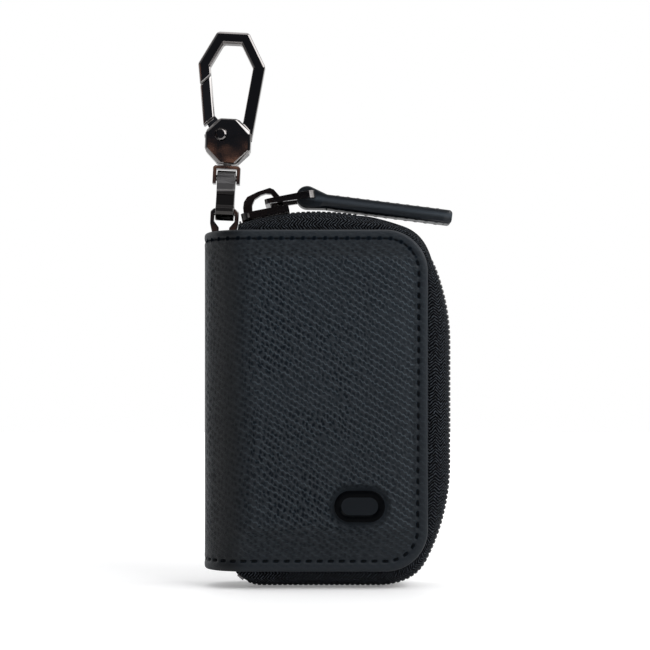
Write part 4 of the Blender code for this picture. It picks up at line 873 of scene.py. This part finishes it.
def filled(outline, holes, spacing, margin):
    """Flat points and triangles inside an outline, and which of the points are the loops' own."""
    loops = [outline, *holes]
    edges, start = [], 0
    for loop in loops:
        count = len(loop)
        edges += [(start + i, start + (i + 1) % count) for i in range(count)]
        start += count
    low, high = outline.min(axis=0) + margin, outline.max(axis=0) - margin
    xs, ys = np.arange(low[0], high[0], spacing), np.arange(low[1], high[1], spacing)
    spots = np.array([(x, y) for x in xs for y in ys]).reshape(-1, 2)
    keep = inside(outline, spots) & (distance_to(loops, spots) > margin)
    for hole in holes:
        keep &= ~inside(hole, spots)
    source = [Vector(p) for p in np.concatenate([*loops, spots[keep]])]
    found, _, faces, olds, *_ = delaunay_2d_cdt(source, edges, [], 3 if holes else 1, 1e-8)
    first = {old: new for new, group in enumerate(olds) for old in group}
    order = [first[i] for i in range(start)]
    return np.array([(p.x, p.y) for p in found]), [tuple(face) for face in faces], order


def inside(loop, spots):
    """Whether each spot is inside a loop, by counting crossings."""
    result = np.zeros(len(spots), bool)
    x, y = spots[:, 0], spots[:, 1]
    for (x0, y0), (x1, y1) in zip(loop, np.roll(loop, -1, axis=0)):
        crosses = (y0 > y) != (y1 > y)
        with np.errstate(divide="ignore", invalid="ignore"):
            at = (x1 - x0) * (y - y0) / (y1 - y0) + x0
        result ^= crosses & (x < at)
    return result


def distance_to(loops, spots):
    nearest = np.full(len(spots), 1.0)
    for loop in loops:
        for a, b in zip(loop, np.roll(loop, -1, axis=0)):
            way = b - a
            size = way @ way
            if size < 1e-14:
                continue
            t = np.clip(((spots - a) @ way) / size, 0.0, 1.0)
            nearest = np.minimum(nearest, np.linalg.norm(spots - a - t[:, None] * way, axis=1))
    return nearest


def inset_loop(points, distance):
    """A loop moved inwards along its corners' bisectors; the outline runs anticlockwise."""
    ahead = np.roll(points, -1, axis=0) - points
    ahead /= np.linalg.norm(ahead, axis=1)[:, None]
    both = ahead + np.roll(ahead, 1, axis=0)
    normal = np.stack([-both[:, 1], both[:, 0]], 1)
    return points + normal * (2 * distance / np.sum(normal**2, axis=1))[:, None]


def upright(points, y):
    """World places of points that are flat in X and Z."""
    return np.insert(points, 1, y, axis=1)


def loop_walls(first, second, sizes):
    """Quads between two rings of points, each made of closed loops of the given sizes."""
    faces, start = [], 0
    for size in sizes:
        for i in range(size):
            a, b = start + i, start + (i + 1) % size
            faces.append((first[a], first[b], second[b], second[a]))
        start += size
    return faces


def pillow(name, outline_at, holes_at, thickness, edge, spacing, place, material, relief=None):
    """A plate with rounded edges.

    outline_at and holes_at give its loops at an inset, and place maps points and heights to the world.
    """
    turns = np.linspace(0.0, QUARTER, 6)
    loops = [[at(edge * (1 - math.cos(turn))) for at in (outline_at, *holes_at)] for turn in turns]
    sizes = [len(loop) for loop in loops[0]]
    count = sum(sizes)
    flat, faces, order = filled(loops[-1][0], loops[-1][1:], spacing, spacing * 0.5)
    raised = thickness / 2 + (relief(flat) if relief else np.zeros(len(flat)))
    points, heights, solid, rims = [], [], [], []
    start = 0
    for side in (1, -1):
        bands = []
        for ring, turn in zip(loops[:-1], turns):
            bands.append(list(range(start, start + count)))
            points += ring
            heights.append(np.full(count, side * (thickness / 2 - edge * (1 - math.sin(turn)))))
            start += count
        bands.append([start + v for v in order])
        points.append(flat)
        heights.append(side * raised)
        for first, second in zip(bands, bands[1:]):
            solid += loop_walls(first, second, sizes)
        solid += shifted(faces, start)
        start += len(flat)
        rims.append(bands[0])
    solid += loop_walls(*rims, sizes)
    points, heights = np.concatenate(points), np.concatenate(heights)
    thing = add_mesh(name, place(points, heights), solid, material)
    store(thing, "flat", np.pad(points, ((0, 0), (0, 1))))
    return thing


# Zip


class Zip:
    """The zip's outer line round the case, dense enough to read a place and heading anywhere."""

    def __init__(self, case):
        side_x = case.right - case.left + 7.3 * MM
        top_z = case.top + 6.6 * MM
        top_radius, corner_radius, shoulder_radius = 75.0 * MM, 12.0 * MM, 60.0 * MM
        press_radius, tail_radius = 22.0 * MM, 9.5 * MM
        corner_start, corner_turn, tail_turn = math.radians(20), math.radians(42), math.radians(48)
        start_x, tail_x, step = 9.9 * MM, 16.5 * MM, 0.05 * MM
        shoulder = corner_start + corner_turn
        shoulder_turn = QUARTER - shoulder
        inner_side = shoulder_radius - corner_radius
        apex_x = side_x - shoulder_radius + inner_side * math.sin(shoulder)
        apex_x -= (top_radius - corner_radius) * math.sin(corner_start)
        arc_z = top_z - top_radius
        drop = corner_radius * math.cos(corner_start) + inner_side * math.cos(shoulder)
        shoulder_end = arc_z + top_radius * math.cos(corner_start) - drop
        press_rise = press_radius * (1 - math.cos(corner_start))
        start_angle = math.asin((apex_x - start_x) / top_radius)
        flat_x = apex_x + (top_radius - press_radius) * math.sin(corner_start)
        steps = (
            (top_radius, start_angle + corner_start),
            (corner_radius, corner_turn),
            (shoulder_radius, shoulder_turn),
            (0.0, shoulder_end - press_rise - drop),
            (shoulder_radius, shoulder_turn),
            (corner_radius, corner_turn),
            (press_radius, corner_start),
            (0.0, flat_x - tail_x),
            (tail_radius, tail_turn),
        )
        heading = start_angle
        x = case.left + apex_x - math.sin(heading) * top_radius
        z = arc_z + math.cos(heading) * top_radius
        line = [(x, z, heading)]
        for radius, amount in steps:
            length = radius * amount if radius else amount
            count = max(2, round(length / step))
            part = length / count
            turn = part / radius if radius else 0.0
            for _ in range(count):
                x += math.cos(heading - turn / 2) * part
                z += math.sin(heading - turn / 2) * part
                heading -= turn
                line.append((x, z, heading))
        self.line = np.array(line)
        self.walked = path_lengths(self.line[:, :2])
        self.length = self.walked[-1]

    def at(self, distance):
        """X, Z and heading at a distance along the line."""
        return [np.interp(distance, self.walked, column) for column in self.line.T]

    def beside(self, distance, across, out):
        """World places at a distance along the line, moved across the case and out of it."""
        x, z, heading = self.at(distance)
        return np.stack([x - np.sin(heading) * out, across, z + np.cos(heading) * out], 1)


def tape_rows(case, zip_line, distances):
    """Places across the tape at each distance, from its seam to the edge beside the teeth."""
    x, z, heading = zip_line.at(distances)
    inner_x = np.minimum(x, case.right - COVER_CORNER)
    inner_z = np.clip(z, case.foot + COVER_CORNER, case.top - COVER_CORNER)
    inner = np.stack([inner_x, inner_z], 1)
    way = np.stack([x, z], 1) - inner
    way /= np.linalg.norm(way, axis=1)[:, None]
    bent = np.maximum(case.left + case.half_depth - inner_x, 0.0)
    seam_y = np.sqrt(np.maximum(TAPE_SEAM_Y**2 - bent**2, 0.0))
    edge = inner + way * COVER_CORNER
    outer = np.stack([x + np.sin(heading) * TAPE_SHORT, z - np.cos(heading) * TAPE_SHORT], 1)
    rows = [upright(inner + way * (COVER_CORNER - TAPE_SEWN), seam_y)]
    for turn in np.linspace(0.0, QUARTER, TAPE_ROUND_COUNT):
        over, down = math.sin(turn) ** TAPE_BEND, math.cos(turn) ** TAPE_BEND
        rows.append(upright(edge + (outer - edge) * over, TAPE_EDGE_Y + (seam_y - TAPE_EDGE_Y) * down))
    return np.stack(rows, 1)


def pressed(distance):
    """How far the top corner's teeth lie pressed in behind the tape's edge, from 0 to 1."""
    return smoothstep(33 * MM, 39 * MM, distance) * (1 - smoothstep(58 * MM, 64 * MM, distance))


def make_tapes(case, zip_line, materials):
    distances = np.linspace(0.1 * MM, zip_line.length, TAPE_COUNT)
    outer = tape_rows(case, zip_line, distances)
    columns = outer.shape[1]
    normal = np.cross(np.gradient(outer, axis=1), np.gradient(outer, axis=0))
    normal /= np.linalg.norm(normal, axis=2)[:, :, None]
    middle = np.array([case.left + 30 * MM, 0.0, (case.foot + case.top) / 2])
    if np.sum((outer - middle) * normal) < 0:
        normal = -normal
    widths = np.linalg.norm(np.diff(outer, axis=1), axis=2)
    from_edge = np.pad(np.cumsum(widths[:, ::-1], axis=1)[:, ::-1], ((0, 0), (0, 1)))
    along = np.repeat(distances[:, None], columns, 1)
    bead = 0.16 * MM * bell(from_edge - 0.55 * MM, 0.40 * MM)
    wave = 0.05 * MM * np.sin(along * math.tau / (13.0 * MM)) * smoothstep(0.5 * MM, 3.0 * MM, from_edge)
    held = 0.50 * MM * pressed(along) * (1 - smoothstep(0.2 * MM, 1.8 * MM, from_edge))
    top = outer + normal * (bead + wave + held)[:, :, None]
    points = np.concatenate([top, outer - normal * TAPE]).reshape(-1, 3)
    flat = np.stack([along, from_edge, np.zeros(along.shape)], 2).reshape(-1, 3)
    ids = np.arange(len(flat)).reshape(TAPE_COUNT, columns)
    border = np.concatenate([ids[0], ids[1:, -1], ids[-1, -2::-1], ids[-2:0:-1, 0]]).tolist()
    faces = sheet_faces(grid_faces(TAPE_COUNT, columns), border, len(flat))
    for side, half in HALVES:
        tape = add_mesh(f"{half}_tape_weave", points * (1.0, side, 1.0), faces, materials["tape"])
        store(tape, "flat", np.tile(flat, (2, 1)))
        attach(tape, f"{half}_half")
        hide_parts(f"{half}_tape")


def make_teeth(zip_line, materials):
    """Two rows of moulded teeth, each on its own cord."""
    turns = np.arange(TOOTH_SIDES) * math.tau / TOOTH_SIDES
    u, v = (np.sign(part) * np.abs(part) ** TOOTH_SQUARE for part in (np.cos(turns), np.sin(turns)))
    cord = np.arange(CORD_SIDES) * math.tau / CORD_SIDES
    for (side, half), shift in zip(HALVES, (TOOTH_PITCH / 2, 0.0)):
        first = TEETH_START + shift
        count = int((zip_line.length - TEETH_END - first - 2 * TOOTH_HALF) / TOOTH_PITCH) + 1
        points, faces = [], []
        for i in range(count):
            middle = first + TOOTH_HALF + i * TOOTH_PITCH
            faces += tube_faces(len(TOOTH_CAPS), TOOTH_SIDES, len(points))
            for along, size in TOOTH_CAPS:
                across = u * 1.95 * MM * (0.5 + size / 2) - 1.05 * MM
                lowered = 0.34 * MM * smoothstep(0.4 * MM, 2.2 * MM, -across) * (v + 1) / 2
                out = TOOTH_DEPTH * (v * size - 1) - lowered - 0.42 * MM * pressed(middle)
                points += list(zip_line.beside(middle + along * TOOTH_HALF, -side * across, out))
        last = first + (count - 1) * TOOTH_PITCH + 2 * TOOTH_HALF
        rings = int((last - first) / CORD_STEP)
        faces += tube_faces(rings, CORD_SIDES, len(points))
        for distance in np.linspace(first, last, rings):
            bulge = 1.0 + 0.10 * math.sin(distance * math.tau / (1.5 * MM))
            across = 0.50 * MM * np.cos(cord) * bulge - 2.05 * MM
            out = 0.42 * MM * np.sin(cord) * bulge - TOOTH_DEPTH
            points += list(zip_line.beside(distance, -side * across, out))
        row = add_mesh(f"{half}_teeth_row", points, faces, materials["teeth"], 60)
        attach(row, f"{half}_half")
        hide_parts(f"{half}_teeth")


# Inside


def lining_outline(case, spine_top):
    """Flat outline of one lining leaf, cut back at the spine under the ring's tab."""
    corner = COVER_CORNER - LINING_INSET
    right, foot, top = case.length - LINING_INSET, case.foot + LINING_INSET, case.top - LINING_INSET
    fore, notch = right - corner, case.arc / 2

    def line(start, end):
        return run(start, end, max(int(math.dist(start, end) / LINING_STEP), 1))

    return np.concatenate([
        line((0.0, foot), (fore, foot)),
        arc((fore, foot + corner), corner, -QUARTER, 0.0, 12),
        line((right, foot + corner), (right, top - corner)),
        arc((fore, top - corner), corner, 0.0, QUARTER, 12),
        line((fore, top), (notch, top)),
        line((notch, top), (notch, spine_top)),
        line((notch, spine_top), (0.0, spine_top)),
        line((0.0, spine_top), (0.0, foot)),
    ])


def make_linings(case, materials):
    outline = lining_outline(case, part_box("spine_lining")[1].z)
    flat, faces, order = filled(outline, [], 1.3 * MM, 0.6 * MM)
    solid = sheet_faces(faces, order, len(flat))
    for side, half in HALVES:
        points = np.concatenate([case.wrap(flat, -deep, side) for deep in (LINING_OUTSIDE, LINING_INSIDE)])
        leaf = add_mesh(f"{half}_lining_cloth", points, solid, materials["lining"])
        store(leaf, "flat", np.tile(np.pad(flat, ((0, 0), (0, 1))), (2, 1)))
        start, end = case.fold_ends(side)
        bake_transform(leaf)
        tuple(start)
        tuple(end)
        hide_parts(f"{half}_lining")
        if half == "front":
            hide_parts("spine_lining")


def make_pocket(materials):
    """Slip pocket with a dipped mouth and a row of stitches along its hem."""
    low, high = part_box("front_pocket")
    middle_y = (low.y + high.y) / 2
    mouth_start, mouth_end = 2 * POCKET_POINTS, 3 * POCKET_POINTS

    def outline_at(inset):
        left, right, foot, top = low.x + inset, high.x - inset, low.z + inset, high.z - inset
        corners = ((left, foot), (right, foot), (right, top), (left, top), (left, foot))
        points = np.concatenate([run(a, b, POCKET_POINTS) for a, b in zip(corners, corners[1:])])
        points[mouth_start:mouth_end, 1] -= POCKET_DIP * np.sin(run(0.0, math.pi, POCKET_POINTS))
        return points

    pocket = pillow(
        "front_pocket_leaf", outline_at, [], high.y - low.y, 0.3 * MM, 1.5 * MM,
        lambda points, heights: upright(points, middle_y + heights), materials["smooth"],
    )
    hem = upright(outline_at(HEM_INSET), high.y)
    parts = (np.concatenate([hem[mouth_end:], hem[: mouth_start + 1]]), hem[mouth_start : mouth_end + 1])
    runs = [even_thread(part, (0.0, 1.0, 0.0), 3.0 * MM, 2.1 * MM, 0.4 * MM) for part in parts]
    thread = thread_piece("front_pocket_stitches", runs, materials["thread"])
    for piece in (pocket, thread):
        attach(piece, "front_half")
    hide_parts("front_pocket")


# Leather fittings


def joint_place(frame, child):
    """Where the joint that carries a body turns."""
    joint = next(joint for joint in frame["joints"] if joint["child"] == child)
    return np.array(joint["pos_m"])


def make_pull(materials, origin):
    """Leather strip folded round the link, with painted edges and stitches on both faces."""
    width, thickness, length = 7.0 * MM, 4.0 * MM, 41.6 * MM
    drop, neck, tip_edge, tip_radius = 1.32 * MM, 4.2 * MM, 1.2 * MM, 3.0 * MM
    loop_radius, bore, snug = 3.15 * MM, 1.45 * MM, 1.20 * MM
    loop = np.array([-1.46 * MM, -0.76 * MM])
    foot, top, corner = -drop - thickness / 2, thickness / 2 - drop, length - tip_edge
    slope = math.radians(-7.288)
    cos, sin = math.cos(slope), math.sin(slope)
    axes = np.array([(cos, 0.0, sin), (-sin, 0.0, cos), (0.0, 1.0, 0.0)])

    def world(along, rise, aside):
        return origin + np.stack(np.broadcast_arrays(along, rise, aside), 1) @ axes

    def tangent(point, side):
        reach = np.array(point) - loop
        return math.atan2(reach[1], reach[0]) + side * math.acos(loop_radius / np.linalg.norm(reach))

    begin, finish = tangent((neck, top), 1), math.tau + tangent((neck, foot), -1)
    bend = arc(loop, loop_radius, begin, finish, 60, True)
    whole = np.concatenate([
        run((neck, top), bend[0], 12),
        bend[:-1],
        run(bend[-1], (neck, foot), 12),
        run((neck, foot), (corner, foot), 90),
        arc((corner, foot + tip_edge), tip_edge, -QUARTER, 0.0, 7),
        run((length, foot + tip_edge), (length, top - tip_edge), 4),
        arc((corner, top - tip_edge), tip_edge, 0.0, QUARTER, 7),
        run((corner, top), (neck, top), 90),
    ])
    lean = math.atan2(loop[1], loop[0])
    near = arc((0.0, 0.0), snug, lean + QUARTER, lean + 3 * QUARTER, 17, True)
    far = arc(loop, bore, lean - QUARTER, lean + QUARTER, 17, True)
    hole = np.concatenate([near, far])[::-1]

    def place(points, heights):
        over = np.maximum(np.abs(heights) - (width / 2 - tip_radius), 0.0)
        back = tip_radius - np.sqrt(np.maximum(tip_radius**2 - over**2, 0.0))
        share = np.clip((points[:, 0] - length) / (9.0 * MM) + 1.0, 0.0, 1.0)
        return world(points[:, 0] - back * share**2, points[:, 1], heights)

    def relief(flat):
        """Layers of the folded strip: the lower one stands out, with a faint groove between them."""
        start = smoothstep(neck - 2 * MM, neck + 1 * MM, flat[:, 0])
        bulge = smoothstep(top - 0.5 * MM, top - 1.7 * MM, flat[:, 1])
        seam = bell(flat[:, 1] - top + 0.55 * MM, 0.13 * MM)
        return (0.42 * bulge - 0.10 * seam) * MM * start

    pull = pillow(
        "pull_strip", lambda inset: inset_loop(whole, inset), [lambda inset: inset_loop(hole, inset)],
        width - 0.8 * MM, 0.50 * MM, 0.32 * MM, place, materials["pull"], relief,
    )
    runs = []
    sewn_half, sunk, tip = 2.5 * MM, 0.07 * MM, length - 3.0 * MM
    line = np.linspace(neck + 0.9 * MM, tip, 60)
    for face, level in ((1, top - sunk), (-1, foot + sunk)):
        up = axes[1] * face
        for aside in (-sewn_half, sewn_half):
            runs.append(even_thread(world(line, level, aside), up, 2.9 * MM, 1.9 * MM, 0.42 * MM))
        for along, size in ((neck + 0.3 * MM, 0.62 * MM), (tip, 0.42 * MM)):
            path = world(along, level, np.linspace(-sewn_half, sewn_half, 12))
            runs.append(even_thread(path, up, 2.4 * MM, 1.8 * MM, size))
    thread = thread_piece("pull_stitches", runs, materials["thread"])
    for piece in (pull, thread):
        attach(piece, "pull")
    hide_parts("pull_leather")


def make_ring_tab(materials, origin):
    """Leather tab that holds the ring: a loop with a tail sewn behind the spine."""
    radius, bore, tail_half, tail, corner = 2.5 * MM, 1.6 * MM, 0.9 * MM, 12.0 * MM, 1.0 * MM
    low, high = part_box("ring_tab")
    tail_top = origin[2] - 3.0 * MM

    def outline_at(inset):
        outer, side, foot = radius - inset, tail_half - inset, inset - tail
        start = math.asin(side / outer)
        neck = -outer * math.cos(start)
        return np.concatenate([
            arc((0.0, 0.0), outer, start - QUARTER, 3 * QUARTER - start, 48, True),
            np.linspace((-side, neck), (-side, foot), 21)[1:],
            run((side, foot), (side, neck), 20),
        ])

    def hole_at(inset):
        return arc((0.0, 0.0), bore + inset, 0.0, -math.tau, 28)

    def place(points, heights):
        return origin + np.column_stack([heights, points])

    def tail_at(inset):
        near = inset + corner
        left, right, foot, top = low.x + near, high.x - near, low.z + near, tail_top - near
        centres = ((right, foot), (right, top), (left, top), (left, foot))
        turns = [(k - 1) * QUARTER for k in range(4)]
        return np.concatenate([arc(c, corner, t, t + QUARTER, 8, True) for c, t in zip(centres, turns)])

    smooth = materials["smooth"]
    loop = pillow("ring_tab_loop", outline_at, [hole_at], 3.7 * MM, 0.35 * MM, 0.5 * MM, place, smooth)
    anchor = pillow("ring_tab_tail", tail_at, [], 1.8 * MM, 0.25 * MM, 0.7 * MM, upright, smooth)
    for piece in (loop, anchor):
        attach(piece, "spine")
    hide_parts("ring_tab")


def make_badge(materials):
    """Bare glossy pill with a raised rim and a sunk field."""
    low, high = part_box("badge_plate")
    middle = (low.z + high.z) / 2
    points = []
    for inset, level in BADGE_LEVELS:
        radius = (high.z - low.z) / 2 - inset
        for x, begin in ((high.x - inset - radius, -QUARTER), (low.x + inset + radius, QUARTER)):
            half = arc((x, middle), radius, begin, begin + math.pi, BADGE_END_POINTS, True)
            points += list(upright(half, high.y - (high.y - low.y) * level))
    count = 2 * BADGE_END_POINTS
    badge = add_mesh("badge_pill", points, tube_faces(len(BADGE_LEVELS), count), materials["gloss"], 60)
    badge.data.materials.append(materials["field"])
    for polygon in badge.data.polygons:
        polygon.material_index = int(min(polygon.vertices) // count >= BADGE_FIELD_ROW)
    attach(badge, "front_half")
    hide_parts("badge_plate")


# Finishes and edges of the CAD nodes


def assign(frame, materials):
    """Give every node of the frame its finish."""
    for part in frame["record"]["subparts"]:
        finish = NODE_FINISH.get(part["node"], SLOT_FINISH[part["material_slot"]])
        data = frame["nodes"][part["node"]].data
        data.materials.clear()
        data.materials.append(materials[finish])


def soften(thing, width, segments=2, angle=25, clamp=True):
    """Round the edges of a rigid node a little."""
    weld = thing.modifiers.new("Joined corners", "WELD")
    weld.merge_threshold = WELD_REACH
    edge = thing.modifiers.new("Soft edges", "BEVEL")
    edge.width = width
    edge.segments = segments
    edge.limit_method = "ANGLE"
    edge.angle_limit = math.radians(angle)
    edge.use_clamp_overlap = clamp


def soften_metal(frame):
    for part in frame["record"]["subparts"]:
        name = part["node"]
        if name in METAL_EDGES:
            soften(frame["nodes"][name], *METAL_EDGES[name])
        elif part["material_slot"] in ("gunmetal", "nickel_steel") and name != "hook_gate":
            soften(frame["nodes"][name], METAL_EDGE)


def make_gate(frame, material):
    """The snap gate with its long edges cut back in two narrow facets."""
    form = bmesh.new()
    form.from_mesh(frame["nodes"]["hook_gate"].data)
    bmesh.ops.remove_doubles(form, verts=form.verts, dist=WELD_REACH)
    bmesh.ops.dissolve_limit(form, angle_limit=math.radians(1), verts=form.verts, edges=form.edges)
    long_edges = [edge for edge in form.edges if edge.calc_length() > 5 * MM and len(edge.link_faces) == 2]
    sharp = [edge for edge in long_edges if edge.calc_face_angle() > math.radians(50)]
    bmesh.ops.bevel(form, geom=sharp, offset=GATE_CHAMFER, segments=2, profile=0.5, affect="EDGES")
    bmesh.ops.triangulate(form, faces=[face for face in form.faces if len(face.verts) > 4])
    data = bpy.data.meshes.new("gate_bar")
    form.to_mesh(data)
    form.free()
    data.materials.clear()
    data.materials.append(material)
    gate = add_object("gate_bar", data)
    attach(gate, "gate")
    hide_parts("hook_gate")


# Camera, light and floor


def make_camera(case):
    data = bpy.data.cameras.new("Camera")
    data.sensor_width = SENSOR
    data.sensor_fit = "HORIZONTAL"
    data.lens = SENSOR * CAMERA_DISTANCE / (PHOTO_PIXELS * PIXEL_SIZE)
    data.shift_y = (HORIZON_V - PHOTO_PIXELS / 2) / PHOTO_PIXELS
    camera = add_object("Camera", data)
    camera.location = (case.left + CAMERA_FROM_SPINE, -CAMERA_DISTANCE, CAMERA_HEIGHT)
    camera.rotation_euler = (QUARTER, 0.0, 0.0)
    bpy.context.scene.camera = camera


def make_lights():
    for name, place, size, power in LIGHTS:
        data = bpy.data.lights.new(name, "AREA")
        data.shape = "RECTANGLE"
        data.size, data.size_y = size
        data.energy = power
        lamp = add_object(name, data)
        lamp.location = place
        lamp.rotation_euler = (Vector(LIT_PLACE) - Vector(place)).to_track_quat("-Z", "Y").to_euler()


def make_world():
    """Studio room: dark and slightly warm in front, soft white above and behind, white for the camera."""
    world = bpy.data.worlds.new("Studio")
    world.use_nodes = True
    world.node_tree.nodes.clear()
    bpy.context.scene.world = world
    made = Graph(world.node_tree)
    where = made.node("TexCoord", output="Generated")
    x, y, rise = made.split(where)
    warm = rise.ramp(0.02, 0.06) * rise.ramp(0.172, 0.162) * x.ramp(-0.030, -0.055)
    warm = warm * rise.ramp(0.146, 0.154, 0.30, 1.0) * made.noise(where, 150.0, 2.0).ramp(0.50, 0.56)
    room = made.mix(warm, (0.034, 0.037, 0.046), (0.52, 0.27, 0.19))
    room = made.mix(y.ramp(-0.30, 0.20), room, (0.10, 0.10, 0.105))
    room = made.mix(rise.ramp(0.30, 0.75), room, (0.42, 0.42, 0.43))
    shine = made.node("LightPath", output="Is Glossy Ray") * y.ramp(-0.10, 0.06)
    room = made.mix(shine, room, (0.80, 0.80, 0.80))
    for ray in ("Is Transmission Ray", "Is Camera Ray"):
        room = made.mix(made.node("LightPath", output=ray), room, WHITE)
    output = world.node_tree.nodes.new("ShaderNodeOutputWorld")
    made.put(output.inputs["Surface"], made.node("Background", {"Color": room}))


def make_floor():
    corners = [(x * FLOOR_REACH, y * FLOOR_REACH, 0.0) for x, y in ((-1, -1), (1, -1), (1, 1), (-1, 1))]
    add_mesh("floor", corners, [(0, 1, 2, 3)], floor_material(), None)


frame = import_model()
case = Case()
zip_line = Zip(case)
materials = all_materials()
assign(frame, materials)
make_gate(frame, materials["gunmetal"])
soften_metal(frame)
make_leather(case, materials)
make_tapes(case, zip_line, materials)
make_teeth(zip_line, materials)
make_linings(case, materials)
make_pocket(materials)
make_pull(materials, joint_place(frame, "pull"))
make_ring_tab(materials, joint_place(frame, "ring"))
make_badge(materials)
bpy.context.scene.view_settings.view_transform = "Standard"
make_camera(case)
make_lights()
make_world()
make_floor()
